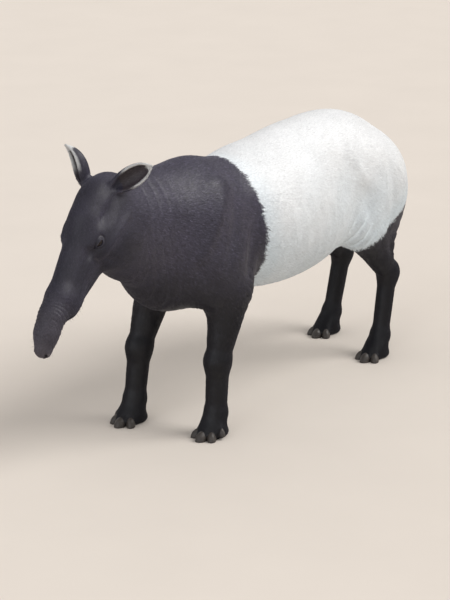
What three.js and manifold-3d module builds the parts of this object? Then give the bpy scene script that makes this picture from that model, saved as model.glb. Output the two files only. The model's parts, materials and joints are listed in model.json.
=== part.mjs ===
// A life-size Malayan tapir that stands square with its head lowered and turned a little to its left.
// Millimetres, +Z up. The animal faces -X, its left side is -Y and its right side +Y, and its soles
// rest on z = 0. The body is one smooth field of flesh masses, skinned by lofts and parted by thin cuts.
import * as THREE from 'three';
import { mergeVertices } from 'three/addons/utils/BufferGeometryUtils.js';
import Module from 'manifold-3d';

const wasm = await Module();
wasm.setup();

// Driving sizes
const WITHERS = 942;
const BARREL_HALF_WIDTH = 248;
const BARREL_HALF_DEPTH = 264;
const TRACK = 158;
const HEAD_PITCH = 42;
const HEAD_YAW = 7;
const POLL = [-342, 0, 938];
const EYE_RADIUS = 15.5;
const EAR_LENGTH = 134;
const EAR_HALF_WIDTH = 37;
const TAIL_LENGTH = 174;
const GAP = 0.45;
const SEAM = 0.3;
const SIDES = { left: -1, right: 1 };
const FAR_AWAY = 4000;
const KNEE_HEIGHT = 268;
const HOCK_HEIGHT = 318;
const FETLOCK_CUT = 88;
const BODY_BLEND = 60;
const HEAD_BLEND = 34;
const LEG_BLEND = 22;

const V = (x, y, z) => new THREE.Vector3(x, y, z);
const UP = V(0, 0, 1);
const DOWN = V(0, 0, -1);
const ACROSS = V(0, 1, 0);
const radians = THREE.MathUtils.degToRad;

// Flesh masses, as signed distances that are negative inside

function ellipsoid([x, y, z], [rx, ry, rz], pitch = 0) {
  const cos = Math.cos(radians(pitch));
  const sin = Math.sin(radians(pitch));
  return (p) => {
    const dx = p.x - x;
    const dz = p.z - z;
    const a = cos * dx + sin * dz;
    const b = p.y - y;
    const c = cos * dz - sin * dx;
    const near = Math.hypot(a / rx, b / ry, c / rz);
    const slope = Math.hypot(a / (rx * rx), b / (ry * ry), c / (rz * rz));
    return slope < 1e-9 ? -Math.min(rx, ry, rz) : (near * (near - 1)) / slope;
  };
}

// A limb tapers from one round end to the other; flat narrows it across the body.
function limb([ax, ay, az], [bx, by, bz], startRadius, endRadius, flat = 1) {
  const run = [bx - ax, (by - ay) / flat, bz - az];
  const square = run[0] ** 2 + run[1] ** 2 + run[2] ** 2;
  return (p) => {
    const q = [p.x - ax, (p.y - ay) / flat, p.z - az];
    const along = (q[0] * run[0] + q[1] * run[1] + q[2] * run[2]) / square;
    const t = Math.min(1, Math.max(0, along));
    const off = Math.hypot(q[0] - t * run[0], q[1] - t * run[1], q[2] - t * run[2]);
    return (off - startRadius - t * (endRadius - startRadius)) * Math.min(1, flat);
  };
}

function smoothMin(a, b, blend) {
  const h = Math.max(blend - Math.abs(a - b), 0) / blend;
  return Math.min(a, b) - 0.25 * h * h * blend;
}

const blendOf = (parts, blend) => (p) => parts.reduce((d, part) => smoothMin(d, part(p), blend), FAR_AWAY);
const bothSides = (make) => Object.values(SIDES).map(make);

// Trunk: rib cage, belly, croup, and the shoulder and haunch masses that swell its sides
const trunkField = blendOf(
  [
    ellipsoid([110, 0, 686], [290, 186, 256]),
    ellipsoid([60, 0, WITHERS - 102], [260, 90, 98]),
    ellipsoid([515, 0, 688], [500, BARREL_HALF_WIDTH, BARREL_HALF_DEPTH]),
    ellipsoid([600, 0, 600], [400, 208, 168]),
    ellipsoid([790, 0, 822], [300, 178, 156]),
    ellipsoid([945, 0, 752], [255, 210, 212], 12),
    ellipsoid([1085, 0, 690], [165, 188, 200], 20),
    ellipsoid([-60, 0, 612], [150, 135, 150]),
    ...bothSides((side) => ellipsoid([35, side * 126, 712], [120, 66, 205], -14)),
    ...bothSides((side) => ellipsoid([95, side * 140, 590], [125, 64, 130], 10)),
    ...bothSides((side) => ellipsoid([1035, side * 128, 660], [175, 100, 215], 16)),
    ...bothSides((side) => ellipsoid([1170, side * 92, 650], [88, 78, 135], 14)),
  ],
  70,
);

const neckField = blendOf(
  [
    limb([40, 0, 740], [-270, 0, 810], 202, 150, 0.84),
    limb([-40, 0, 655], [-245, 0, 732], 165, 128, 0.84),
    limb([60, 0, WITHERS - 72], [-330, 0, 902], 70, 62, 0.8),
  ],
  60,
);

// The head is modelled in its own frame: x forward from the poll, y to its left, z up from the brow.
const headFrame = (() => {
  const pitched = V(-1, 0, 0).applyAxisAngle(ACROSS, -radians(HEAD_PITCH));
  const forward = pitched.applyAxisAngle(UP, radians(HEAD_YAW));
  const left = V(0, -1, 0).applyAxisAngle(UP, radians(HEAD_YAW));
  const brow = forward.clone().cross(left);
  return new THREE.Matrix4().makeBasis(forward, left, brow).setPosition(...POLL);
})();
const toHead = headFrame.clone().invert();

const EYE = [208, 60.5, 20];
const EYE_TURN = radians(24);
const LID_REACH = 8.5;
const LID_TUBE = 4.6;

const headField = blendOf(
  [
    ellipsoid([58, 0, 8], [105, 76, 86]),
    ellipsoid([112, 0, 44], [105, 60, 64], -6),
    limb([160, 0, 42], [415, 0, -2], 56, 38, 0.9),
    ...bothSides((side) => ellipsoid([130, side * 47, -62], [112, 45, 95], -8)),
    ...bothSides((side) => ellipsoid([172, side * 60, -10], [72, 28, 34], -10)),
    limb([110, 0, -90], [395, 0, -82], 67, 30, 0.86),
    limb([290, 0, -26], [425, 0, -24], 60, 44, 0.88),
    limb([425, 0, -12], [492, 0, -15], 45, 41, 0.92),
    limb([492, 0, -15], [545, 0, -28], 41, 36, 0.96),
    limb([545, 0, -28], [590, 0, -50], 36, 31, 1.0),
    ...bothSides((side) => ellipsoid([402, side * 26, -50], [52, 22, 27], -8)),
    ...bothSides((side) => ellipsoid([200, side * 50, 42], [40, 16, 12], -10)),
  ],
  HEAD_BLEND,
);
const headInBody = (p) => headField(p.clone().applyMatrix4(toHead));

// Legs: each stands on its own foot, placed as the stance has them
const STANCE = {
  fore_left: { foot: 18, side: SIDES.left },
  fore_right: { foot: -42, side: SIDES.right },
  hind_left: { foot: 1062, side: SIDES.left },
  hind_right: { foot: 1196, side: SIDES.right },
};
const TOE_FANS = {
  fore: [-38, 0, 36, 76],
  hind: [-36, 0, 36],
};
const TOE_HALF_WIDTHS = [17.5, 20, 17.5, 13.5];
const TOE_PAD_RADIUS = 19;
const TOE_PAD_SETBACK = 7;
const CORONET_SETBACK = 7;

// Toes fan round the foot's centre; a positive angle turns outwards.
function toesOf(foot, side, fan) {
  return fan.map((degrees, index) => {
    const turn = radians(degrees);
    const outermost = fan.length === 4 && index === 3;
    const reach = outermost ? 46 : 66 - Math.abs(degrees) * 0.22;
    const lift = outermost ? 12 : 0;
    const halfWidth = TOE_HALF_WIDTHS[index];
    const at = (r) => [foot - Math.cos(turn) * r, side * (TRACK + Math.sin(turn) * r * 0.86), 17 + lift];
    return { turn, lift, halfWidth, tip: at(reach), pad: at(reach - TOE_PAD_SETBACK) };
  });
}

function foreLegParts({ foot, side }) {
  const y = side * TRACK;
  const elbow = [112, y, 505];
  const knee = [foot * 0.7 + 34, y, KNEE_HEIGHT];
  const fetlock = [foot + 16, y, 78];
  return [
    limb([70, side * 140, 610], elbow, 96, 84, 0.72),
    limb(elbow, knee, 88, 47, 0.86),
    ellipsoid([knee[0] - 3, y, knee[2]], [52, 45, 52]),
    limb(knee, fetlock, 46, 40, 0.95),
    limb(fetlock, [foot - 2, y, 34], 42, 44, 1.0),
    ...toesOf(foot, side, TOE_FANS.fore).map(({ pad }) => limb([foot + 4, y, 42], pad, 34, TOE_PAD_RADIUS)),
    ellipsoid([foot + 8, y, 14], [52, 50, 26]),
  ];
}

function hindLegParts({ foot, side }) {
  const y = side * TRACK;
  const shift = (foot - 1062) * 0.35;
  const stifle = [935 + shift, side * 158, 560];
  const hock = [foot + 92, side * 150, HOCK_HEIGHT];
  const fetlock = [foot + 34, y, 80];
  return [
    limb([1075, side * 120, 690], stifle, 150, 96, 0.62),
    limb([1150 + shift, side * 112, 610], [foot + 78, side * 140, 400], 108, 52, 0.66),
    limb(stifle, hock, 84, 44, 0.78),
    ellipsoid([hock[0] + 6, hock[1], hock[2]], [50, 38, 52]),
    limb(hock, fetlock, 42, 36, 0.9),
    limb(fetlock, [foot + 6, y, 34], 40, 42, 1.0),
    ...toesOf(foot, side, TOE_FANS.hind).map(({ pad }) => limb([foot + 10, y, 42], pad, 34, TOE_PAD_RADIUS)),
    ellipsoid([foot + 16, y, 14], [50, 46, 26]),
  ];
}

const legFields = Object.fromEntries(
  Object.entries(STANCE).map(([name, stance]) => {
    const parts = name.startsWith('fore') ? foreLegParts(stance) : hindLegParts(stance);
    return [name, blendOf(parts, LEG_BLEND)];
  }),
);

const bodyField = blendOf([trunkField, neckField, headInBody, ...Object.values(legFields)], BODY_BLEND);

// Lofts: rings of rays from a path run out to where the field ends

const STEP = 6;
const HALVINGS = 14;

function crossing(field, from, direction, start, limit) {
  let low = start;
  const at = (r) => field(from.clone().addScaledVector(direction, r));
  while (low < limit && at(Math.min(low + STEP, limit)) < 0) low += STEP;
  if (low >= limit) return limit;
  let high = Math.min(low + STEP, limit);
  for (let i = 0; i < HALVINGS; i += 1) {
    const middle = (low + high) / 2;
    if (at(middle) < 0) low = middle;
    else high = middle;
  }
  return (low + high) / 2;
}

// The surface lies on the part's own field, and out to the whole body's where that is within the fillet.
function surfaceRadius({ own, whole, fillet = 0, grow = 0 }, from, direction) {
  const inner = crossing(own, from, direction, 0, 700);
  const outer = fillet ? crossing(whole, from, direction, inner, inner + fillet) : inner;
  return outer + grow;
}

function solidOf(geometry) {
  geometry.deleteAttribute('normal');
  geometry.deleteAttribute('uv');
  const merged = mergeVertices(geometry, 1e-4);
  const mesh = new wasm.Mesh({
    numProp: 3,
    vertProperties: new Float32Array(merged.attributes.position.array),
    triVerts: new Uint32Array(merged.index.array),
  });
  const made = new wasm.Manifold(mesh);
  if (made.volume() > 0) return made;
  for (let i = 0; i < mesh.triVerts.length; i += 3) {
    [mesh.triVerts[i + 1], mesh.triVerts[i + 2]] = [mesh.triVerts[i + 2], mesh.triVerts[i + 1]];
  }
  return new wasm.Manifold(mesh);
}

// Rings of points, closed round, with one pole at each end, as a closed geometry.
function closedRings(rings, firstPole, lastPole) {
  const around = rings[0].length;
  const points = [...rings.flat(), firstPole, lastPole];
  const first = rings.length * around;
  const last = first + 1;
  const index = [];
  for (let j = 0; j < around; j += 1) {
    const next = (j + 1) % around;
    index.push(first, next, j);
    const end = (rings.length - 1) * around;
    index.push(last, end + j, end + next);
    for (let i = 0; i + 1 < rings.length; i += 1) {
      const a = i * around + j;
      const b = i * around + next;
      index.push(a, b, b + around, a, b + around, a + around);
    }
  }
  const geometry = new THREE.BufferGeometry().setFromPoints(points);
  geometry.setIndex(index);
  return geometry;
}

// path: a curve. rows: places along it from 0 to 1. square: a fixed direction that rings face, where
// the path's own tangent isn't used. domes: how many rings close each end, or 0 for a flat end.
function loft({ path, rows, around, square, domes = [0, 0], across = ACROSS, ...surface }) {
  const frames = rows.map((u) => {
    const tangent = square ?? path.getTangent(u);
    return { centre: path.getPoint(u), tangent, tilt: 0 };
  });
  const first = frames[0];
  const last = frames[frames.length - 1];
  const dome = (frame, count, sign) =>
    Array.from({ length: count }, (_, i) => {
      const share = (i + 1) / (count + 1);
      return { ...frame, tilt: (sign * share * Math.PI) / 2 };
    });
  const all = [...dome(first, domes[0], -1).reverse(), ...frames, ...dome(last, domes[1], 1)];
  const rings = all.map(({ centre, tangent, tilt }) => {
    const rise = tangent.clone().cross(across).normalize();
    return Array.from({ length: around }, (_, j) => {
      const angle = ((j + 0.5) / around) * 2 * Math.PI;
      const direction = across
        .clone()
        .multiplyScalar(Math.cos(angle) * Math.cos(tilt))
        .addScaledVector(rise, Math.sin(angle) * Math.cos(tilt))
        .addScaledVector(tangent, Math.sin(tilt))
        .normalize();
      return centre.clone().addScaledVector(direction, surfaceRadius(surface, centre, direction));
    });
  });
  const pole = ({ centre, tangent }, count, sign) => {
    const direction = tangent.clone().multiplyScalar(sign);
    const reach = count ? surfaceRadius(surface, centre, direction) : 0;
    return centre.clone().addScaledVector(direction, reach);
  };
  return closedRings(rings, pole(first, domes[0], -1), pole(last, domes[1], 1));
}

const evenRows = (count, from = 0, to = 1) =>
  Array.from({ length: count }, (_, i) => from + ((to - from) * i) / (count - 1));
const smoothPath = (points) => new THREE.CatmullRomCurve3(points.map((p) => V(...p)), false, 'centripetal');

// Cutters

// Everything on the side of a plane that the normal points to.
function halfSpace(point, normal) {
  const box = new THREE.BoxGeometry(FAR_AWAY, FAR_AWAY, FAR_AWAY).translate(0, 0, FAR_AWAY / 2);
  const turn = new THREE.Quaternion().setFromUnitVectors(UP, normal.clone().normalize());
  box.applyQuaternion(turn).translate(...point.toArray());
  return solidOf(box);
}

// The two sides of a plane cut, with the seam between them; the normal's side comes first.
function part(solid, point, normal) {
  const unit = normal.clone().normalize();
  const ahead = halfSpace(point.clone().addScaledVector(unit, SEAM / 2), unit);
  const behind = halfSpace(point.clone().addScaledVector(unit, -SEAM / 2), unit.clone().negate());
  return [solid.intersect(ahead), solid.intersect(behind)];
}

const largest = (solid) => solid.decompose().sort((a, b) => b.volume() - a.volume())[0];

// Nodes are gathered here, each with the colours of its own patch of coat.
const COATS = {
  black_coat: { color: 0x1b1a1e, roughness: 0.72 },
  white_coat: { color: 0xdfe3e4, roughness: 0.78 },
  ear_tip_white: { color: 0xf2f2ee, roughness: 0.8 },
  horn: { color: 0x2d2826, roughness: 0.45 },
  eye_dark: { color: 0x0d0908, roughness: 0.08 },
};
const tapir = new THREE.Group();

function addNode(name, solid, coat) {
  const { vertProperties, triVerts, numProp } = largest(solid).getMesh();
  const geometry = new THREE.BufferGeometry();
  geometry.setAttribute('position', new THREE.BufferAttribute(new Float32Array(vertProperties), numProp));
  geometry.setIndex(new THREE.BufferAttribute(new Uint32Array(triVerts), 1));
  geometry.computeVertexNormals();
  const material = new THREE.MeshStandardMaterial({ ...COATS[coat], metalness: 0, name: coat });
  const mesh = new THREE.Mesh(geometry, material);
  mesh.name = name;
  tapir.add(mesh);
  return mesh;
}

// Trunk
const trunkLoft = {
  path: new THREE.LineCurve3(V(-40, 0, 700), V(1130, 0, 715)),
  rows: evenRows(20),
  around: 30,
  square: V(1, 0, 0),
  domes: [4, 5],
  own: trunkField,
  whole: bodyField,
  fillet: 26,
};
const trunk = solidOf(loft(trunkLoft));
const trunkCutter = solidOf(loft({ ...trunkLoft, grow: GAP }));

// Neck and head
const neckLoft = {
  path: new THREE.LineCurve3(V(60, 0, 790), V(-270, 0, 850)),
  rows: evenRows(9),
  around: 28,
  domes: [0, 3],
  own: neckField,
  whole: bodyField,
  fillet: 30,
};
const neckLofted = solidOf(loft(neckLoft));
const neckCutter = solidOf(loft({ ...neckLoft, grow: GAP }));

const headLoft = {
  path: smoothPath([[20, 0, -12], [180, 0, -24], [330, 0, -30], [430, 0, -24], [520, 0, -20], [576, 0, -44]]),
  rows: evenRows(28),
  around: 28,
  domes: [3, 3],
  own: headField,
  whole: (p) => bodyField(p.clone().applyMatrix4(headFrame)),
  fillet: 22,
};
const headShape = (grow) => solidOf(loft({ ...headLoft, grow }).applyMatrix4(headFrame));
const headLofted = headShape(0);
const headCutter = headShape(GAP);

function inHead([x, y, z]) {
  return V(x, y, z).applyMatrix4(headFrame);
}
const headDirection = (x, y, z) => V(x, y, z).transformDirection(headFrame);

// Head and neck meet behind the ears and the angle of the jaw.
const napePoint = V(-304, 0, 885);
const napeNormal = V(-0.94, 0, -0.34).applyAxisAngle(UP, radians(HEAD_YAW / 2));
const headAndNeck = headLofted.add(neckLofted).subtract(trunkCutter);
const [headWhole, neck] = part(headAndNeck, napePoint, napeNormal);

// Mouth: the lower jaw is parted by a wedge that opens a little between the lips.
function jawOutline(open) {
  const shape = new THREE.Shape();
  shape.moveTo(300, -200);
  shape.lineTo(300, -82 + open * 0.1);
  shape.quadraticCurveTo(350, -86 + open, 400, -78 + open);
  shape.quadraticCurveTo(425, -70 + open, 470, -48 + open);
  shape.lineTo(520, -200);
  return shape;
}

function headPrism(shape, halfWidth) {
  const extrusion = { depth: 2 * halfWidth, bevelEnabled: false, curveSegments: 8 };
  const geometry = new THREE.ExtrudeGeometry(shape, extrusion);
  geometry.translate(0, 0, -halfWidth).rotateX(Math.PI / 2);
  return solidOf(geometry.applyMatrix4(headFrame));
}

const LIP_GAP = 3.5;
const JAW_HALF_WIDTH = 150;
const seamStep = headDirection(1, 0, 0).multiplyScalar(SEAM).toArray();
const jaw = headWhole.intersect(headPrism(jawOutline(-LIP_GAP), JAW_HALF_WIDTH).translate(...seamStep));
let skull = headWhole.subtract(headPrism(jawOutline(0), JAW_HALF_WIDTH + 1));

// Eyes, their sockets and lids
function ball(radius, centre, widthSegments = 14, heightSegments = 9, stretch = [1, 1, 1]) {
  const sphere = new THREE.SphereGeometry(radius, widthSegments, heightSegments);
  sphere.scale(...stretch);
  return sphere.translate(...centre);
}

for (const [name, side] of Object.entries(SIDES)) {
  const [x, y, z] = EYE;
  const centre = [x, -side * y, z];
  const lids = new THREE.TorusGeometry(EYE_RADIUS - 2.5, LID_TUBE, 6, 16);
  lids.scale(1.12, 0.86, 1).rotateX(Math.PI / 2).rotateZ(side * EYE_TURN);
  lids.translate(x + LID_REACH * Math.sin(EYE_TURN), -side * (y + LID_REACH * Math.cos(EYE_TURN)), z);
  skull = skull.add(solidOf(lids.applyMatrix4(headFrame)));
  skull = skull.subtract(solidOf(ball(EYE_RADIUS + SEAM, centre).applyMatrix4(headFrame)));
  addNode(`eye_${name}`, solidOf(ball(EYE_RADIUS, centre).applyMatrix4(headFrame)), 'eye_dark');
}

// Nostrils are slanting slits at the tip of the trunk.
for (const side of Object.values(SIDES)) {
  const slit = ball(1, [0, 0, 0], 12, 8, [20, 6.5, 13]);
  slit.rotateX(side * 0.35).translate(606, side * 15, -56);
  skull = skull.subtract(solidOf(slit.applyMatrix4(headFrame)));
}

const trunkRoot = inHead([418, 0, 0]);
const [proboscis, cranium] = part(skull, trunkRoot, headDirection(1, 0, 0));

// Ears: leaf-shaped cups with thin walls, open to the front and side. Each stands along its own z.
// The right ear is pricked, and the left one is turned out and back.
const EAR_LEANS = { [SIDES.left]: { out: 58, back: 60 }, [SIDES.right]: { out: 32, back: 28 } };

function earFrame(side) {
  const { out, back } = EAR_LEANS[side];
  const turn = new THREE.Euler(radians(side * out), radians(-back), radians(-side * 34), 'YXZ');
  const stand = new THREE.Matrix4().makeRotationFromEuler(turn).setPosition(4, -side * 60, 56);
  return stand.premultiply(headFrame);
}
const inEar = (side, point) => point.clone().applyMatrix4(earFrame(side));

// The cup runs from below its root to just under its tip, in shares of its length, with closer rings
// towards the rounded tip.
const EAR_FLOOR = -0.3;
const EAR_TOP = 0.985;
const EAR_TIP_FROM = 0.66;

function earGeometry(side) {
  const rows = 10;
  const half = 7;
  const ringAt = (u) => {
    const leaf = Math.sin(Math.PI * THREE.MathUtils.clamp(0.2 + 0.76 * u, 0.14, 0.96)) ** 0.62;
    const rounding = Math.sqrt(1 - THREE.MathUtils.clamp((u - 0.6) / 0.4, 0, 1) ** 3);
    const width = EAR_HALF_WIDTH * leaf * rounding;
    const wrap = radians(118 - 52 * u);
    const radius = width / Math.sin(Math.min(wrap, Math.PI / 2));
    const wall = 9 - 3.5 * u;
    const bend = 16 * Math.sin(Math.PI * u * 0.8);
    const arc = (r, from, to) =>
      Array.from({ length: half }, (_, i) => {
        const angle = from + ((to - from) * i) / (half - 1);
        return V(-Math.cos(angle) * r + radius * 0.4 - bend, Math.sin(angle) * r, EAR_LENGTH * u);
      });
    return [...arc(radius, -wrap, wrap), ...arc(Math.max(radius - wall, radius * 0.25), wrap, -wrap)];
  };
  const rings = evenRows(rows).map((t) => ringAt(EAR_TOP - (EAR_TOP - EAR_FLOOR) * (1 - t) ** 1.4));
  const middle = (ring) => ring.reduce((sum, p) => sum.add(p), V(0, 0, 0)).divideScalar(ring.length);
  const foot = middle(rings[0].slice(2, 5).map((p) => p.clone()));
  const tip = middle(rings[rows - 1].slice(2, 5).map((p) => p.clone())).add(V(0, 0, EAR_LENGTH * 0.02));
  const geometry = closedRings(rings, foot, tip);
  return geometry.applyMatrix4(earFrame(side));
}

for (const [name, side] of Object.entries(SIDES)) {
  const ear = solidOf(earGeometry(side)).subtract(headCutter.add(neckCutter));
  const upward = UP.clone().transformDirection(earFrame(side));
  const [tip, base] = part(ear, inEar(side, V(0, 0, EAR_LENGTH * EAR_TIP_FROM)), upward);
  addNode(`ear_${name}`, base, 'black_coat');
  addNode(`ear_tip_${name}`, tip, 'ear_tip_white');
}

addNode('head', cranium, 'black_coat');
addNode('proboscis', proboscis, 'black_coat');
addNode('lower_jaw', jaw, 'black_coat');
addNode('neck', neck, 'black_coat');

// Tail
const TAIL_ROOT = V(1160, 0, 850);
const TAIL_WAY = V(0.71, 0, -0.704).normalize();
const TAIL_SUNK = 20;
const tailTip = TAIL_ROOT.clone().addScaledVector(TAIL_WAY, TAIL_LENGTH);
const tailField = limb(TAIL_ROOT.toArray(), tailTip.toArray(), 28, 14);
const tailLofted = solidOf(
  loft({
    path: new THREE.LineCurve3(TAIL_ROOT.clone().addScaledVector(TAIL_WAY, -TAIL_SUNK), tailTip),
    rows: evenRows(8, 0.08, 0.97),
    around: 12,
    domes: [0, 2],
    own: tailField,
  }),
);
addNode('tail', tailLofted.subtract(trunkCutter), 'white_coat');

// Legs
const legPaths = {
  fore: ({ foot, side }) => [
    [88, side * 130, 640],
    [108, side * 150, 520],
    [foot * 0.7 + 34, side * TRACK, KNEE_HEIGHT],
    [foot + 14, side * TRACK, 80],
    [foot - 6, side * TRACK, 24],
    [foot - 8, side * TRACK, 0],
  ],
  hind: ({ foot, side }) => [
    [1075, side * 105, 690],
    [1035 + (foot - 1062) * 0.4, side * 125, 560],
    [foot + 84, side * 145, 330],
    [foot + 34, side * TRACK, 84],
    [foot, side * TRACK, 24],
    [foot - 2, side * TRACK, 0],
  ],
};

function hoofSolid(toe, side, grow) {
  const [x, y] = toe.tip;
  const nail = ball(1, [0, 0, 0], 10, 8, [27 + grow, toe.halfWidth + grow, 34 + grow]);
  nail.rotateY(radians(16)).rotateZ(side * -toe.turn).translate(x - 2, y, toe.lift);
  const outward = V(-Math.cos(toe.turn), side * Math.sin(toe.turn), 0.35).normalize();
  const coronet = V(x, y, 20 + toe.lift).addScaledVector(outward, -CORONET_SETBACK - grow);
  const ground = V(0, 0, toe.lift - grow);
  return solidOf(nail).intersect(halfSpace(coronet, outward)).intersect(halfSpace(ground, UP));
}

function legSolid(name, stance, pair) {
  return solidOf(
    loft({
      path: smoothPath(legPaths[pair](stance)),
      rows: [...evenRows(12, 0, 0.86), 0.9, 0.935, 0.965, 1],
      around: 20,
      square: DOWN,
      own: legFields[name],
      whole: bodyField,
      fillet: 30,
    }),
  );
}

function addLeg(name, whole, { foot, side }, pair) {
  let leg = whole;
  toesOf(foot, side, TOE_FANS[pair]).forEach((toe, i) => {
    leg = leg.subtract(hoofSolid(toe, side, GAP));
    addNode(`hoof_${name}_${i + 1}`, hoofSolid(toe, side, 0), 'horn');
  });
  const joint = pair === 'fore' ? KNEE_HEIGHT : HOCK_HEIGHT;
  const [upper, rest] = part(leg, V(0, 0, joint), UP);
  const [lower, paw] = part(rest, V(0, 0, FETLOCK_CUT), UP);
  addNode(`${name}_upper_leg`, upper, 'black_coat');
  addNode(`${name}_lower_leg`, lower, 'black_coat');
  addNode(`${name}_foot`, paw, 'black_coat');
}

for (const name of ['fore_left', 'fore_right']) {
  const leg = legSolid(name, STANCE[name], 'fore').subtract(trunkCutter);
  addLeg(name, leg, STANCE[name], 'fore');
}

// The black of the hind legs ends at a line that climbs from the fold of the flank to the buttock.
const flankFold = V(860, 0, 452);
const buttock = V(1290, 0, 636);
const borderNormal = V(flankFold.z - buttock.z, 0, buttock.x - flankFold.x);
const hindLegs = ['hind_left', 'hind_right'].map((name) => legSolid(name, STANCE[name], 'hind'));
const trunkAndHaunches = trunk.add(hindLegs[0]).add(hindLegs[1]);
const [pale, dark] = part(trunkAndHaunches, flankFold, borderNormal);
const [darkRight, darkLeft] = part(dark, V(0, 0, 0), ACROSS);
addLeg('hind_left', darkLeft, STANCE.hind_left, 'hind');
addLeg('hind_right', darkRight, STANCE.hind_right, 'hind');

// The white saddle starts behind the shoulder and is parted from the rump at the flank.
const [behindShoulder, forequarters] = part(pale, V(262, 0, 0), V(1, 0, -0.05));
const [rump, saddle] = part(behindShoulder, V(862, 0, 0), V(1, 0, 0));
addNode('forequarters', forequarters, 'black_coat');
addNode('saddle', saddle, 'white_coat');
addNode('rump', rump, 'white_coat');

// The origin is on the floor, under the middle of the animal's box.
const box = new THREE.Box3().setFromObject(tapir, true);
const middle = box.getCenter(V(0, 0, 0));
tapir.position.set(-middle.x, -middle.y, 0);

export default tapir;
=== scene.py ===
"""A life-size Malayan tapir with its head lowered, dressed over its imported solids.

One skin is meshed from the same flesh masses as the solids, a few millimetres inside them, and
short overlapping tufts of hair lie over it. Eyes and hooves are pieces of their own.
"""

import json
import math
from collections import namedtuple

import bmesh
import bpy
import numpy as np
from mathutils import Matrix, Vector


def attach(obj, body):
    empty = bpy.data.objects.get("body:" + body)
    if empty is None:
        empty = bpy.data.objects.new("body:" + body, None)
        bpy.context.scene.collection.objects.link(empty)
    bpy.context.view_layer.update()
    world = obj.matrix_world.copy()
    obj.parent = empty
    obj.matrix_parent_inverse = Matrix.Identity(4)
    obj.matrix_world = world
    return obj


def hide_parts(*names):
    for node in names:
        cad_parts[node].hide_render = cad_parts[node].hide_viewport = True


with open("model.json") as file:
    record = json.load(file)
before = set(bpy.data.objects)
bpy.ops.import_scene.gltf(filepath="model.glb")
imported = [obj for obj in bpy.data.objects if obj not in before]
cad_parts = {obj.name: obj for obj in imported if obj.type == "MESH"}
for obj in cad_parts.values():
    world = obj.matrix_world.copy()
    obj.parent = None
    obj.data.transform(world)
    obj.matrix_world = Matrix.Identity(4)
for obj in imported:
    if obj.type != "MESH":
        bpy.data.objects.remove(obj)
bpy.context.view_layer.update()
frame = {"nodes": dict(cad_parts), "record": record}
rng = np.random.default_rng(20)

# The masses below are placed in the stance, whose x runs from the withers. The record's first
# mount, the near fore sole, gives how far the frame's origin lies behind that.
FORE_LEFT_FOOT = 0.018
SOLE_BEHIND_FOOT = 0.002
ORIGIN_SHIFT = frame["record"]["mounts"][0]["pos_m"][0] - (FORE_LEFT_FOOT - SOLE_BEHIND_FOOT)
TO_FRAME = np.array([ORIGIN_SHIFT, 0, 0])

# Driving sizes, in metres and degrees
WITHERS = 0.942
BARREL_HALF_WIDTH = 0.248
BARREL_HALF_DEPTH = 0.264
TRACK = 0.158
FORE_RIGHT_FOOT = -0.042
HIND_LEFT_FOOT = 1.062
HIND_RIGHT_FOOT = 1.196
HEAD_PITCH = 42
HEAD_YAW = 7
POLL = (-0.342, 0, 0.938)
EYE_RADIUS = 0.0155
EYE = (0.208, 0.0605, 0.020)
EAR_LENGTH = 0.134
EAR_HALF_WIDTH = 0.037
TAIL_LENGTH = 0.174
LEFT, RIGHT = -1, 1
SIDES = {LEFT: "left", RIGHT: "right"}

# How far apart two masses may be and still flow into each other
TRUNK_BLEND = 0.070
NECK_BLEND = 0.060
HEAD_BLEND = 0.034
LEG_BLEND = 0.022
TAIL_BLEND = 0.022
EAR_BLEND = 0.014
SOLE_BLEND = 0.006
BODY_BLEND = 0.060

# Flesh masses, as signed distances that are negative inside. A point set is a tuple (x, y, z).
FAR_OFF = 0.5


def ellipsoid(centre, radii, pitch=0):
    cos, sin = math.cos(math.radians(pitch)), math.sin(math.radians(pitch))
    rx, ry, rz = radii

    def distance(p):
        dx, b, dz = p[0] - centre[0], p[1] - centre[1], p[2] - centre[2]
        a, c = cos * dx + sin * dz, cos * dz - sin * dx
        near = np.sqrt((a / rx) ** 2 + (b / ry) ** 2 + (c / rz) ** 2)
        slope = np.sqrt((a / rx**2) ** 2 + (b / ry**2) ** 2 + (c / rz**2) ** 2)
        return near * (near - 1) / np.maximum(slope, 1e-6)

    return distance


def limb(start, end, start_radius, end_radius, flat=1.0):
    run = (end[0] - start[0], (end[1] - start[1]) / flat, end[2] - start[2])
    square = sum(step * step for step in run)

    def distance(p):
        q = (p[0] - start[0], (p[1] - start[1]) / flat, p[2] - start[2])
        t = np.clip((q[0] * run[0] + q[1] * run[1] + q[2] * run[2]) / square, 0, 1)
        off = np.sqrt(sum((q[i] - t * run[i]) ** 2 for i in range(3)))
        return (off - start_radius - t * (end_radius - start_radius)) * min(1.0, flat)

    return distance


def smooth_min(a, b, blend):
    h = np.maximum(blend - np.abs(a - b), 0) / blend
    return np.minimum(a, b) - 0.25 * h * h * blend


def blend_of(parts, blend):
    def field(p):
        d = parts[0](p)
        for part in parts[1:]:
            d = smooth_min(d, part(p), blend)
        return d

    return field


def within(low, high, field):
    """The field worked out only inside a box; outside it the mass is far away."""

    def boxed(p):
        inside = np.all([(p[i] > low[i]) & (p[i] < high[i]) for i in range(3)], axis=0)
        d = np.full(p[0].shape, FAR_OFF, np.float32)
        if inside.any():
            d[inside] = field(tuple(axis[inside] for axis in p))
        return d

    return boxed


def pair(centre, radii, pitch):
    """The same mass on the left and on the right."""
    x, y, z = centre
    return [ellipsoid((x, side * y, z), radii, pitch) for side in SIDES]


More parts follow.
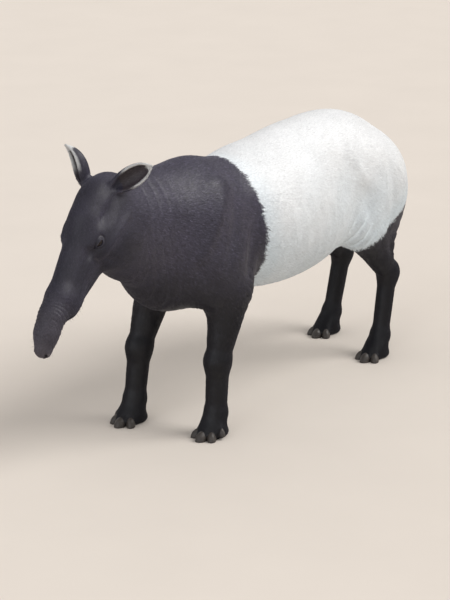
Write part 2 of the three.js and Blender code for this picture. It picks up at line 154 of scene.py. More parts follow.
trunk_field = blend_of(
    [
        ellipsoid((0.110, 0, 0.686), (0.290, 0.186, 0.256)),
        ellipsoid((0.060, 0, WITHERS - 0.102), (0.260, 0.090, 0.098)),
        ellipsoid((0.515, 0, 0.688), (0.500, BARREL_HALF_WIDTH, BARREL_HALF_DEPTH)),
        ellipsoid((0.600, 0, 0.600), (0.400, 0.208, 0.168)),
        ellipsoid((0.790, 0, 0.822), (0.300, 0.178, 0.156)),
        ellipsoid((0.945, 0, 0.752), (0.255, 0.210, 0.212), 12),
        ellipsoid((1.085, 0, 0.690), (0.165, 0.188, 0.200), 20),
        ellipsoid((-0.060, 0, 0.612), (0.150, 0.135, 0.150)),
        *pair((0.035, 0.126, 0.712), (0.120, 0.066, 0.205), -14),
        *pair((0.095, 0.140, 0.590), (0.125, 0.064, 0.130), 10),
        *pair((1.035, 0.128, 0.660), (0.175, 0.100, 0.215), 16),
        *pair((1.170, 0.092, 0.650), (0.088, 0.078, 0.135), 14),
    ],
    TRUNK_BLEND,
)

neck_field = blend_of(
    [
        limb((0.040, 0, 0.740), (-0.270, 0, 0.810), 0.202, 0.150, 0.84),
        limb((-0.040, 0, 0.655), (-0.245, 0, 0.732), 0.165, 0.128, 0.84),
        limb((0.060, 0, WITHERS - 0.072), (-0.330, 0, 0.902), 0.070, 0.062, 0.8),
    ],
    NECK_BLEND,
)

# The head has its own frame: x forward from the poll, y to its left, z up from the brow.
pitch, yaw = math.radians(HEAD_PITCH), math.radians(HEAD_YAW)
level = -math.cos(pitch)
HEAD_FORWARD = np.array([level * math.cos(yaw), level * math.sin(yaw), -math.sin(pitch)])
HEAD_LEFT = np.array([math.sin(yaw), -math.cos(yaw), 0.0])
HEAD_UP = np.cross(HEAD_FORWARD, HEAD_LEFT)
HEAD_AXES = np.array([HEAD_FORWARD, HEAD_LEFT, HEAD_UP])


def to_frame(p, origin, axes):
    d = [p[i] - origin[i] for i in range(3)]
    return tuple(d[0] * row[0] + d[1] * row[1] + d[2] * row[2] for row in axes)


def in_head(p):
    return to_frame(p, POLL, HEAD_AXES)


def from_head(point):
    return np.array(POLL) + np.array(point) @ HEAD_AXES


flesh_of_head = blend_of(
    [
        ellipsoid((0.058, 0, 0.008), (0.105, 0.076, 0.086)),
        ellipsoid((0.112, 0, 0.044), (0.105, 0.060, 0.064), -6),
        limb((0.160, 0, 0.042), (0.415, 0, -0.002), 0.056, 0.038, 0.9),
        *pair((0.130, 0.047, -0.062), (0.112, 0.045, 0.095), -8),
        *pair((0.172, 0.060, -0.010), (0.072, 0.028, 0.034), -10),
        limb((0.110, 0, -0.090), (0.395, 0, -0.082), 0.067, 0.030, 0.86),
        limb((0.290, 0, -0.026), (0.425, 0, -0.024), 0.060, 0.044, 0.88),
        limb((0.425, 0, -0.012), (0.492, 0, -0.015), 0.045, 0.041, 0.92),
        limb((0.492, 0, -0.015), (0.545, 0, -0.028), 0.041, 0.036, 0.96),
        limb((0.545, 0, -0.028), (0.590, 0, -0.050), 0.036, 0.031, 1.0),
        *pair((0.402, 0.026, -0.050), (0.052, 0.022, 0.027), -8),
        *pair((0.200, 0.050, 0.042), (0.040, 0.016, 0.012), -10),
    ],
    HEAD_BLEND,
)


def head_field(p):
    return flesh_of_head(in_head(p))


# Legs: each stands on its own foot, whose centre is given along x
STANCE = {
    ("fore", LEFT): FORE_LEFT_FOOT,
    ("fore", RIGHT): FORE_RIGHT_FOOT,
    ("hind", LEFT): HIND_LEFT_FOOT,
    ("hind", RIGHT): HIND_RIGHT_FOOT,
}
TOE_FANS = {"fore": (-38, 0, 36, 76), "hind": (-36, 0, 36)}
TOE_HALF_WIDTHS = (0.0175, 0.020, 0.0175, 0.0135)
TOE_REACH, TOE_HEIGHT = 0.066, 0.017
FOURTH_TOE_REACH, FOURTH_TOE_LIFT = 0.046, 0.012
NARROWING = 0.86
TOE_SHORTENING = 0.00022
FOOT_RADIUS = 0.034
TOE_PAD_RADIUS = 0.019
TOE_PAD_SETBACK = 0.007
CORONET_SETBACK, CORONET_SLOPE = 0.007, 0.35
Toe = namedtuple("Toe", "turn lift half_width tip pad")


def toes_of(kind, side):
    """The toes round a foot's centre, from the inner one out."""
    foot, toes = STANCE[kind, side], []
    for index, degrees in enumerate(TOE_FANS[kind]):
        turn = math.radians(degrees)
        fourth = index == 3
        reach = FOURTH_TOE_REACH if fourth else TOE_REACH - abs(degrees) * TOE_SHORTENING
        lift = FOURTH_TOE_LIFT if fourth else 0.0
        tip, pad = [
            (foot - math.cos(turn) * r, side * (TRACK + math.sin(turn) * r * NARROWING), TOE_HEIGHT + lift)
            for r in (reach, reach - TOE_PAD_SETBACK)
        ]
        toes.append(Toe(turn, lift, TOE_HALF_WIDTHS[index], tip, pad))
    return toes


def toe_pads(start, kind, side):
    return [limb(start, toe.pad, FOOT_RADIUS, TOE_PAD_RADIUS) for toe in toes_of(kind, side)]


def fore_leg(side):
    foot, y = STANCE["fore", side], side * TRACK
    elbow = (0.112, y, 0.505)
    knee = (foot * 0.7 + 0.034, y, 0.268)
    fetlock = (foot + 0.016, y, 0.078)
    parts = [
        limb((0.070, side * 0.140, 0.610), elbow, 0.096, 0.084, 0.72),
        limb(elbow, knee, 0.088, 0.047, 0.86),
        ellipsoid((knee[0] - 0.003, y, knee[2]), (0.052, 0.045, 0.052)),
        limb(knee, fetlock, 0.046, 0.040, 0.95),
        limb(fetlock, (foot - 0.002, y, 0.034), 0.042, 0.044),
        *toe_pads((foot + 0.004, y, 0.042), "fore", side),
        ellipsoid((foot + 0.008, y, 0.014), (0.052, 0.050, 0.026)),
    ]
    return blend_of(parts, LEG_BLEND)


def hind_leg(side):
    foot, y = STANCE["hind", side], side * TRACK
    shift = (foot - HIND_LEFT_FOOT) * 0.35
    stifle = (0.935 + shift, side * 0.158, 0.560)
    hock = (foot + 0.092, side * 0.150, 0.318)
    fetlock = (foot + 0.034, y, 0.080)
    parts = [
        limb((1.075, side * 0.120, 0.690), stifle, 0.150, 0.096, 0.62),
        limb((1.150 + shift, side * 0.112, 0.610), (foot + 0.078, side * 0.140, 0.400), 0.108, 0.052, 0.66),
        limb(stifle, hock, 0.084, 0.044, 0.78),
        ellipsoid((hock[0] + 0.006, hock[1], hock[2]), (0.050, 0.038, 0.052)),
        limb(hock, fetlock, 0.042, 0.036, 0.9),
        limb(fetlock, (foot + 0.006, y, 0.034), 0.040, 0.042),
        *toe_pads((foot + 0.010, y, 0.042), "hind", side),
        ellipsoid((foot + 0.016, y, 0.014), (0.050, 0.046, 0.026)),
    ]
    return blend_of(parts, LEG_BLEND)


TAIL_ROOT = (1.160, 0, 0.850)
TAIL_WAY = np.array([0.71, 0, -0.704])
tail_tip = tuple(np.array(TAIL_ROOT) + TAIL_WAY * TAIL_LENGTH)
tail_field = limb(TAIL_ROOT, tail_tip, 0.028, 0.014)
MASSES = [
    within((-0.34, -0.34, 0.34), (1.36, 0.34, 1.12), trunk_field),
    within((-0.52, -0.28, 0.42), (0.34, 0.28, 1.08), neck_field),
    within((-1.0, -0.34, 0.38), (-0.10, 0.26, 1.15), head_field),
    within((-0.16, -0.34, -0.1), (0.30, -0.02, 0.80), fore_leg(LEFT)),
    within((-0.20, 0.02, -0.1), (0.30, 0.34, 0.80), fore_leg(RIGHT)),
    within((0.80, -0.34, -0.1), (1.34, 0.0, 0.92), hind_leg(LEFT)),
    within((0.84, 0.0, -0.1), (1.42, 0.34, 0.92), hind_leg(RIGHT)),
]
tail_mass = within((1.08, -0.1, 0.65), (1.40, 0.1, 0.98), tail_field)
body_field = blend_of([blend_of(MASSES, BODY_BLEND), tail_mass], TAIL_BLEND)

# Ears: thin cups that open forwards and out. The right one is pricked, the left turned out and back.
EAR_LEANS = {LEFT: (58, 60), RIGHT: (32, 28)}
EAR_TWIST = 34
EAR_ROOT = (0.004, 0.060, 0.056)
EAR_FLOOR = -0.3
EAR_SUNK = 0.0009
EAR_BOX = 0.17


def turn_about(axis, degrees):
    c, s = math.cos(math.radians(degrees)), math.sin(math.radians(degrees))
    i, j = [(1, 2), (2, 0), (0, 1)][axis]
    turn = np.eye(3)
    turn[i, i] = turn[j, j] = c
    turn[i, j], turn[j, i] = -s, s
    return turn


def ear_frame(side):
    out, back = EAR_LEANS[side]
    stand = turn_about(1, -back) @ turn_about(0, side * out) @ turn_about(2, -side * EAR_TWIST)
    root = from_head((EAR_ROOT[0], -side * EAR_ROOT[1], EAR_ROOT[2]))
    return root, stand.T @ HEAD_AXES


def ear_section(u):
    """(radius, wrap, wall, centre) of the ear's cup at a share u of its length."""
    leaf = np.sin(math.pi * np.clip(0.2 + 0.76 * u, 0.14, 0.96)) ** 0.62
    leaf = leaf * np.sqrt(np.maximum(1 - np.clip((u - 0.60) / 0.40, 0, 1) ** 3, 0.004))
    wrap = np.radians(118 - 52 * u)
    radius = EAR_HALF_WIDTH * leaf / np.sin(np.minimum(wrap, math.pi / 2))
    wall = 0.0078 - 0.0032 * u
    centre = radius * 0.4 - 0.016 * np.sin(math.pi * u * 0.8)
    return radius, wrap, wall, centre


def ear_field(side):
    root, axes = ear_frame(side)

    def distance(p):
        x, y, z = to_frame(p, root, axes)
        radius, wrap, wall, centre = ear_section(np.clip(z / EAR_LENGTH, EAR_FLOOR, 1.0))
        middle = np.maximum(radius - EAR_SUNK - wall / 2, 0.0004)
        beyond = np.maximum(np.abs(np.arctan2(y, centre - x)) - wrap, 0) * middle
        sheet = np.hypot(np.hypot(x - centre, y) - middle, beyond) - wall / 2
        ends = np.maximum(z - 0.99 * EAR_LENGTH, EAR_FLOOR * EAR_LENGTH - z)
        return np.maximum(sheet, ends)

    return within(root - EAR_BOX, root + EAR_BOX, distance)


EARS = [ear_field(side) for side in SIDES]

# Skin: the body, a coat's depth inside the solids, with the face's folds and openings


def unit(rows):
    return rows / np.linalg.norm(rows, axis=-1, keepdims=True)


def ramp(value, start, end):
    t = np.clip((value - start) / (end - start), 0, 1)
    return t * t * (3 - 2 * t)


def bell(value, width):
    """1 at zero, falling off to both sides."""
    return np.exp(-((value / width) ** 2))


def smooth_max(a, b, blend):
    return -smooth_min(-a, -b, blend)


def oval(a, b, half_length, half_height):
    near = np.sqrt((a / half_length) ** 2 + (b / half_height) ** 2)
    slope = np.sqrt((a / half_length**2) ** 2 + (b / half_height**2) ** 2)
    return near * (near - 1) / np.maximum(slope, 1e-6)


LID_OPENING = (0.0148, 0.0104)
LID_THICKNESS = 0.0027
LID_TILT = math.radians(-14)
LID_CREASE_OFF, LID_CREASE_DEPTH = 0.0085, 0.0016
EYE_TURN = math.radians(24)
EYEBALL_GAP = 0.0008
MOUTH_CORNER, MOUTH_FRONT = 0.300, 0.480
MOUTH_LEVEL, MOUTH_RISE, MOUTH_BEND = -0.0835, 2.46, 0.350
MOUTH_DEPTH, LIP_SWELL = 0.0085, 0.0022
NOSTRIL = (0.606, 0.015, -0.056)
NOSTRIL_RADII = (0.019, 0.0056, 0.012)
NOSTRIL_SLANT = math.radians(20)
NOSTRIL_RIM = 0.0016
RING_SPACING, RING_DEPTH = 0.0135, 0.0019


def mouth_line(x):
    return MOUTH_LEVEL + MOUTH_RISE * np.maximum(x - MOUTH_BEND, 0) ** 2


def in_eye(h, side):
    """Along the slit, out where the eye looks, and up across the lids, from the eyeball's centre."""
    x, y, z = h[0] - EYE[0], -side * h[1] - EYE[1], h[2] - EYE[2]
    fore = math.cos(EYE_TURN) * x - math.sin(EYE_TURN) * y
    out = math.cos(EYE_TURN) * y + math.sin(EYE_TURN) * x
    along = math.cos(LID_TILT) * fore + math.sin(LID_TILT) * z
    return along, out, math.cos(LID_TILT) * z - math.sin(LID_TILT) * fore


def from_eye(along, out, up, side):
    """The same, back to a point of the head's frame."""
    fore = math.cos(LID_TILT) * along - math.sin(LID_TILT) * up
    z = math.sin(LID_TILT) * along + math.cos(LID_TILT) * up
    x = math.cos(EYE_TURN) * fore + math.sin(EYE_TURN) * out
    y = math.cos(EYE_TURN) * out - math.sin(EYE_TURN) * fore
    return EYE[0] + x, -side * (EYE[1] + y), EYE[2] + z


def lids(d, h, side):
    """Two lids round an almond opening, over the front of the eyeball."""
    along, out, up = in_eye(h, side)
    outline = oval(along, up, *LID_OPENING)
    ball = np.sqrt(np.maximum((EYE_RADIUS + EYEBALL_GAP) ** 2 - along**2 - up**2, 0))
    thickness = LID_THICKNESS + 0.0010 * ramp(up, 0, 0.006)
    d = smooth_min(d, np.hypot(outline, out - ball) - thickness, 0.010)
    crease = oval(along, up - 0.001, *(half + LID_CREASE_OFF for half in LID_OPENING))
    d = d + LID_CREASE_DEPTH * bell(crease, 0.0022) * (out > 0)
    opening = np.maximum(outline + LID_THICKNESS * 0.5, ball - 0.004 - out)
    return smooth_max(d, -opening, 0.0015)


def in_nostril(h, side):
    return h[0] - NOSTRIL[0], h[1] + side * NOSTRIL[1], h[2] - NOSTRIL[2]


def nostril(d, h, side):
    """A slanted hole with a raised rim."""
    x, y, z = in_nostril(h, side)
    c, s = math.cos(NOSTRIL_SLANT), side * math.sin(NOSTRIL_SLANT)
    hole = ellipsoid((0, 0, 0), NOSTRIL_RADII)((x, c * y + s * z, c * z - s * y))
    d = d - NOSTRIL_RIM * bell(hole - 0.003, 0.003)
    return smooth_max(d, -hole, 0.003)


def proboscis_rings(d, h):
    """Wrinkles round the proboscis, uneven, and fainter along its middle."""
    x, y, z = h
    swing = 0.0040 * np.sin(y * 90 + x * 50) + 0.0045 * np.sin(z * 80 + x * 37)
    rings = 1 - np.abs(np.sin(math.pi * (x + swing - 0.35 * np.abs(z)) / RING_SPACING))
    beside = 0.35 + 0.65 * ramp(np.abs(y), 0.006, 0.030)
    return d + RING_DEPTH * rings**3 * ramp(x, 0.40, 0.47) * beside * (1 - ramp(x, 0.585, 0.603))


def lips(d, h):
    """Swollen lips with a thin line between them."""
    x, y, z = h
    lip = z - mouth_line(x)
    reach = ramp(x, MOUTH_CORNER - 0.004, MOUTH_CORNER + 0.03)
    swell = bell(np.abs(lip) - 0.008, 0.006) * reach * (1 - ramp(x, 0.46, 0.50))
    d = d - LIP_SWELL * swell
    return d + MOUTH_DEPTH * bell(lip, 0.0026) * reach * (1 - ramp(x, MOUTH_FRONT - 0.01, MOUTH_FRONT))


def face(d, p):
    """The head's flesh with its bones, wrinkles, lips, nostrils, lids and eye sockets."""
    h = in_head(p)
    d = d + relief(h[0], h[2], HEAD_LINES) * ramp(np.abs(h[1]), 0.028, 0.055)
    d = lips(proboscis_rings(d, h), h)
    for side in SIDES:
        d = lids(nostril(d, h, side), h, side)
    return d


COAT_DEPTH, FACE_SHALLOWER, FOOT_SHALLOWER = 0.0042, 0.0018, 0.0016


def coat_depth(p):
    """How far the skin lies inside the solids: less on the face and feet than on the body."""
    depth = COAT_DEPTH - FACE_SHALLOWER * (1 - ramp(p[0], -0.38, -0.22))
    return depth - FOOT_SHALLOWER * (1 - ramp(p[2], 0.10, 0.34))


def creases(run, spacing):
    return (1 - np.abs(np.sin(math.pi * run / spacing))) ** 2


# Loose skin behind the elbow, before the stifle and under the buttock: centre and reach (x and z),
# the way across the creases, their spacing and their depth
LOOSE_SKIN = [
    ((0.165, 0.50), (0.055, 0.08), (0.8, 0.75), 0.036, 0.0040),
    ((0.86, 0.52), (0.06, 0.09), (0.85, -0.55), 0.042, 0.0040),
    ((1.20, 0.47), (0.08, 0.07), (0.2, 1.0), 0.040, 0.0030),
]


def folds(p):
    """Soft creases round the throat and nape, and in the patches of loose skin."""
    x, y, z = p
    throat = (1 - ramp(z, 0.70, 0.86)) * ramp(x, -0.33, -0.27) * (1 - ramp(x, -0.16, -0.04))
    d = 0.0030 * throat * creases(x + (z - 0.8) * 0.32, 0.034)
    nape = ramp(z, 0.80, 0.88) * ramp(x, -0.30, -0.27) * (1 - ramp(x, -0.16, -0.08))
    d += 0.0016 * nape * creases(x - (z - 0.8) * 0.1, 0.045)
    for centre, reach, across, spacing, depth in LOOSE_SKIN:
        patch = np.exp(-(((x - centre[0]) / reach[0]) ** 2 + ((z - centre[1]) / reach[1]) ** 2))
        d += depth * patch * creases(x * across[0] + z * across[1], spacing)
    return d


# Seams between muscles sink the skin, and bones and muscle bellies lift it:
# from, to (x and z on the side), half width, and depth, which is negative where the skin is lifted
MUSCLE_LINES = [
    ((0.06, 0.88), (-0.10, 0.64), 0.024, -0.0070),
    ((0.13, 0.86), (0.02, 0.62), 0.026, 0.0065),
    ((0.25, 0.80), (0.13, 0.55), 0.030, 0.0090),
    ((-0.10, 0.66), (0.00, 0.54), 0.024, 0.0060),
    ((-0.02, 0.52), (0.00, 0.40), 0.018, -0.0035),
    ((0.03, 0.50), (0.03, 0.36), 0.014, 0.0030),
    ((0.80, 0.90), (0.90, 0.72), 0.026, -0.0060),
    ((0.88, 0.76), (0.93, 0.52), 0.028, 0.0065),
    ((1.02, 0.82), (1.07, 0.50), 0.024, 0.0065),
    ((1.10, 0.80), (1.15, 0.56), 0.026, -0.0035),
    ((0.98, 0.52), (1.06, 0.40), 0.020, 0.0035),
]
# The same for the head, in its own frame: cheekbone, temple, chewing muscle, crest and hollow before the eye
HEAD_LINES = [
    ((0.235, -0.014), (0.060, -0.022), 0.013, -0.0040),
    ((0.170, 0.048), (0.040, 0.050), 0.016, 0.0040),
    ((0.225, -0.035), (0.205, -0.105), 0.012, 0.0040),
    ((0.120, -0.050), (0.100, -0.125), 0.030, -0.0030),
    ((0.255, 0.000), (0.380, -0.026), 0.011, -0.0026),
    ((0.245, 0.024), (0.330, 0.000), 0.013, 0.0026),
]
RIB_SPACING, RIB_DEPTH = 0.062, 0.0011


def relief(x, z, lines):
    """What the lines add, each fading at both of its ends."""
    d = np.zeros_like(x)
    for (x0, z0), (x1, z1), half_width, depth in lines:
        length = math.hypot(x1 - x0, z1 - z0)
        along = ((x - x0) * (x1 - x0) + (z - z0) * (z1 - z0)) / length**2
        off = ((x - x0) * (z1 - z0) - (z - z0) * (x1 - x0)) / length
        fade = ramp(along, -0.15, 0.20) * (1 - ramp(along, 0.80, 1.15))
        d += depth * fade * bell(off, half_width)
    return d


def muscles(p):
    """The relief that muscles, shoulder blade, hip and ribs give the sides under the skin."""
    x, y, z = p
    d = relief(x, z, MUSCLE_LINES)
    ribs = ramp(x, 0.30, 0.42) * (1 - ramp(x, 0.66, 0.78)) * ramp(z, 0.46, 0.56) * (1 - ramp(z, 0.70, 0.86))
    d += RIB_DEPTH * ribs * np.sin(2 * math.pi * (x + 0.25 * (z - 0.6)) / RIB_SPACING)
    return d * ramp(np.abs(y), 0.035, 0.10)


SOLE_LEVEL = 0.0015
FACE_BEFORE = -0.30


def skin_field(p):
    d = body_field(p) + coat_depth(p) + folds(p) + muscles(p)
    for ear in EARS:
        d = smooth_min(d, ear(p), EAR_BLEND)
    d = smooth_max(d, SOLE_LEVEL - p[2], SOLE_BLEND)
    head = p[0] < FACE_BEFORE
    if head.any():
        d[head] = face(d[head], tuple(axis[head] for axis in p))
    return d


# Meshing: one vertex in each cell that the surface crosses, joined across the edges it cuts

BLOCK = 4
BLOCK_REACH = 1.45
POINTS_AT_ONCE = 400_000
CORNERS = [(i, j, k) for i in (0, 1) for j in (0, 1) for k in (0, 1)]
EDGES = [(corner, axis) for corner in CORNERS for axis in range(3) if not corner[axis]]


def stepped(corner, axis):
    return tuple(corner[i] + (i == axis) for i in range(3))


def corner_on(axis, level, du, dv):
    """The corner at a level along one axis, and at du and dv along the two after it."""
    return tuple((level, du, dv)[(i - axis) % 3] for i in range(3))


def patches_of(inside):
    """For the cell whose corners are so, which of its surface patches crosses each edge."""
    ends = {frozenset((corner, stepped(corner, axis))): i for i, (corner, axis) in enumerate(EDGES)}
    patch = list(range(len(EDGES)))
    for axis in range(3):
        for level in (0, 1):
            ring = [corner_on(axis, level, *place) for place in ((0, 0), (1, 0), (1, 1), (0, 1))]
            sides = [ends[frozenset((ring[i], ring[i - 1]))] for i in range(4)]
            cut = [i for i in range(4) if inside[ring[i]] != inside[ring[i - 1]]]
            pairs = [(sides[i], sides[j]) for i, j in zip(cut, cut[1:2])]
            if len(cut) == 4:
                pairs = [(sides[i], sides[(i + 1) % 4]) for i in range(4) if inside[ring[i]]]
            for a, b in pairs:
                patch = [patch[a] if number == patch[b] else number for number in patch]
    used = sorted({patch[i] for i, (c, axis) in enumerate(EDGES) if inside[c] != inside[stepped(c, axis)]})
    return [used.index(number) if number in used else 0 for number in patch], len(used)


CELL_KINDS = [patches_of({c: bool(kind >> i & 1) for i, c in enumerate(CORNERS)}) for kind in range(256)]
PATCH = np.array([kind[0] for kind in CELL_KINDS], np.int32)
PATCH_COUNT = np.array([kind[1] for kind in CELL_KINDS], np.int32)


def sample(field, low, cell, blocks):
    """The field at the nodes near its surface; elsewhere only its sign is kept."""
    size = cell * BLOCK
    centres = [low[i] + size * (np.arange(blocks[i]) + 0.5 - 0.5 / BLOCK) for i in range(3)]
    grid = np.meshgrid(*centres, indexing="ij")
    middle = field(tuple(axis.ravel().astype(np.float32) for axis in grid)).reshape(blocks)
    near = np.abs(middle) < size * BLOCK_REACH
    values = np.sign(middle).astype(np.float32)
    for axis in range(3):
        values = values.repeat(BLOCK, axis)
        near = near.repeat(BLOCK, axis)
    where = np.nonzero(near)
    points = [(low[i] + cell * where[i]).astype(np.float32) for i in range(3)]
    found = np.empty(len(points[0]), np.float32)
    for start in range(0, len(found), POINTS_AT_ONCE):
        part = slice(start, start + POINTS_AT_ONCE)
        found[part] = field(tuple(axis[part] for axis in points))
    values[where] = found
    return values


def surface_net(field, low, high, cell):
    blocks = [int(math.ceil((high[i] - low[i]) / (cell * BLOCK))) + 1 for i in range(3)]
    values = sample(field, low, cell, blocks)
    inside = values < 0

    def at_corner(array, corner):
        return array[tuple(slice(corner[i], array.shape[i] - 1 + corner[i]) for i in range(3))]

    kind = sum(at_corner(inside, corner).astype(np.int32) << i for i, corner in enumerate(CORNERS))
    cells = np.nonzero((kind > 0) & (kind < 255))
    kinds = kind[cells]
    counts = PATCH_COUNT[kinds]
    first = np.cumsum(counts) - counts
    index = np.full(kind.shape, -1, np.int32)
    index[cells] = np.arange(len(kinds))
    total = np.zeros((counts.sum(), 3))
    crossings = np.zeros(counts.sum())
    for i, (corner, axis) in enumerate(EDGES):
        start, end = at_corner(values, corner)[cells], at_corner(values, stepped(corner, axis))[cells]
        cut = (start < 0) != (end < 0)
        point = (first + PATCH[kinds, i])[cut]
        share = (start[cut] / (start[cut] - end[cut]))[:, None] * (np.arange(3) == axis)
        total[point] += np.column_stack(cells)[cut] + np.array(corner) + share
        crossings[point] += 1
    points = np.array(low) + cell * total / crossings[:, None]
    quads = []
    for axis in range(3):
        shape = inside.shape
        start = [slice(1, n - 1) for n in shape]
        start[axis] = slice(0, shape[axis] - 1)
        end = list(start)
        end[axis] = slice(1, shape[axis])
        before, after = inside[tuple(start)], inside[tuple(end)]
        edge = np.nonzero(before != after)
        quad = []
        for du, dv in ((1, 1), (0, 1), (0, 0), (1, 0)):
            corner = corner_on(axis, 0, du, dv)
            found = index[tuple(edge[i] + (i != axis) - corner[i] for i in range(3))]
            quad.append(first[found] + PATCH[kinds[found], EDGES.index((corner, axis))])
        quad = np.column_stack(quad)
        flip = after[edge]
        quad[flip] = quad[flip][:, ::-1]
        quads.append(quad)
    return points, np.concatenate(quads)


def settle(field, points, step=0.0006):
    """Points moved onto the surface by one step down the slope, found from four samples round each."""
    value, slope = np.zeros(len(points)), np.zeros((len(points), 3))
    for corner in np.array([(1, 1, 1), (1, -1, -1), (-1, 1, -1), (-1, -1, 1)], float):
        at = points + step * corner
        d = field(tuple(at[:, i].astype(np.float32) for i in range(3))).astype(float)
        value += d / 4
        slope += d[:, None] * corner / (4 * step)
    return points - (value / np.maximum((slope**2).sum(1), 0.25))[:, None] * slope


def mesh_of(name, points, faces):
    mesh = bpy.data.meshes.new(name)
    sides = faces.shape[1]
    mesh.vertices.add(len(points))
    mesh.vertices.foreach_set("co", np.asarray(points, np.float32).ravel())
    mesh.loops.add(faces.size)
    mesh.loops.foreach_set("vertex_index", faces.astype(np.int32).ravel())
    mesh.polygons.add(len(faces))
    mesh.polygons.foreach_set("loop_start", np.arange(0, faces.size, sides, dtype=np.int32))
    mesh.update(calc_edges=True)
    mesh.shade_smooth()
    return mesh


def wall(first, rings, sides):
    """Two triangles for each side between rings of points, which are numbered on from the first."""
    faces = []
    for a in range(first, first + (rings - 1) * sides):
        b = a + 1 if (a + 1 - first) % sides else a + 1 - sides
        faces += [(a, b, b + sides), (a, b + sides, a + sides)]
    return faces


def add_object(mesh):
    thing = bpy.data.objects.new(mesh.name, mesh)
    bpy.context.scene.collection.objects.link(thing)
    return thing


NECK_PLANE = -0.252
NECK_OVERLAP = 0.03
HEAD_BOX = ((-0.86, -0.30, 0.42), (NECK_PLANE + NECK_OVERLAP, 0.24, 1.16))
BODY_BOX = ((NECK_PLANE - NECK_OVERLAP, -0.31, -0.02), (1.42, 0.31, 1.08))
HEAD_CELL = 0.0021
BODY_CELL = 0.0056
SKIN_TRIANGLES = 196_000


def kept(points, faces, keep):
    faces = faces[keep[faces].all(1)]
    used = np.unique(faces)
    renumber = np.zeros(len(points), np.int64)
    renumber[used] = np.arange(len(used))
    return points[used], renumber[faces]


def whole_skin():
    """Finer cells on the head than on the body, bridged round the neck, then thinned where it is plain."""
    head, head_faces = surface_net(skin_field, *HEAD_BOX, HEAD_CELL)
    body, body_faces = surface_net(skin_field, *BODY_BOX, BODY_CELL)
    head, head_faces = kept(head, head_faces, head[:, 0] < NECK_PLANE)
    body, body_faces = kept(body, body_faces, body[:, 0] > NECK_PLANE)
    points = settle(skin_field, np.vstack([head, body]))
    mesh = mesh_of("skin", points + TO_FRAME, np.vstack([head_faces, body_faces + len(head)]))
    shaped = bmesh.new()
    shaped.from_mesh(mesh)
    rims = [edge for edge in shaped.edges if edge.is_boundary]
    bmesh.ops.bridge_loops(shaped, edges=rims)
    bmesh.ops.recalc_face_normals(shaped, faces=shaped.faces)
    shaped.to_mesh(mesh)
    shaped.free()
    skin = add_object(mesh)
    thin = skin.modifiers.new("thin", "DECIMATE")
    thin.ratio = SKIN_TRIANGLES / (2 * len(mesh.polygons))
    thinned = bpy.data.meshes.new_from_object(skin.evaluated_get(bpy.context.evaluated_depsgraph_get()))
    skin.modifiers.clear()
    skin.data = thinned
    thinned.shade_smooth()
    return skin


skin = whole_skin()

# Hooves: a domed nail at the end of each toe, ridged like growing horn

HOOF_CELL = 0.0011
HOOF_BOX = ((-0.032, -0.032, -0.004), (0.032, 0.032, 0.040))
RIDGE_DEPTH, FINE_RIDGES, COARSE_RIDGES = 0.00013, 0.0023, 0.0037


def hoof_field(toe, side):
    c, s = math.cos(toe.turn), side * math.sin(toe.turn)
    nail = ellipsoid((0, 0, 0), (0.027, toe.half_width, 0.034), -16)

    def distance(p):
        dx, dy, z = p[0] - toe.tip[0] + 0.002, p[1] - toe.tip[1], p[2] - toe.lift
        ahead, beside = c * dx - s * dy, c * dy + s * dx
        rings = np.sin(math.pi * (z + 0.25 * ahead) / FINE_RIDGES)
        rings = rings + 0.7 * np.sin(math.pi * z / COARSE_RIDGES + 40 * beside)
        d = nail((ahead, beside, z)) + RIDGE_DEPTH * rings * ramp(z, 0.004, 0.010)
        coronet = (ahead - 0.002 - CORONET_SLOPE * (z - 0.020)) / 1.06 - CORONET_SETBACK
        d = smooth_max(d, coronet + 0.0006 * np.sin(beside * 900), 0.003)
        return smooth_max(d, 0.0003 - z, 0.002)

    return distance


def hooves(kind, side):
    name = "%s_%s" % (kind, SIDES[side])
    points, faces, count = [], [], 0
    for toe in toes_of(kind, side):
        low, high = np.array([*toe.tip[:2], toe.lift]) + HOOF_BOX
        field = hoof_field(toe, side)
        hoof, quads = surface_net(field, low, high, HOOF_CELL)
        points.append(settle(field, hoof))
        faces.append(quads + count)
        count += len(hoof)
    mesh = mesh_of("hooves_" + name, np.vstack(points) + TO_FRAME, np.vstack(faces))
    piece = add_object(mesh)
    nodes = ["hoof_%s_%d" % (name, index + 1) for index in range(len(TOE_FANS[kind]))]
    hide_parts(*nodes)
    return piece


hoof_pieces = [hooves(kind, side) for kind, side in STANCE]

# Eyes: a ball with a bulged cornea, coloured by the angle from where it looks

EYE_RINGS, EYE_SEGMENTS = 44, 48
CORNEA_BULGE = 0.055
CORNEA_ANGLES = (22, 40)
GAZE_RANGE, PUPIL_WIDENING = 60, 0.86


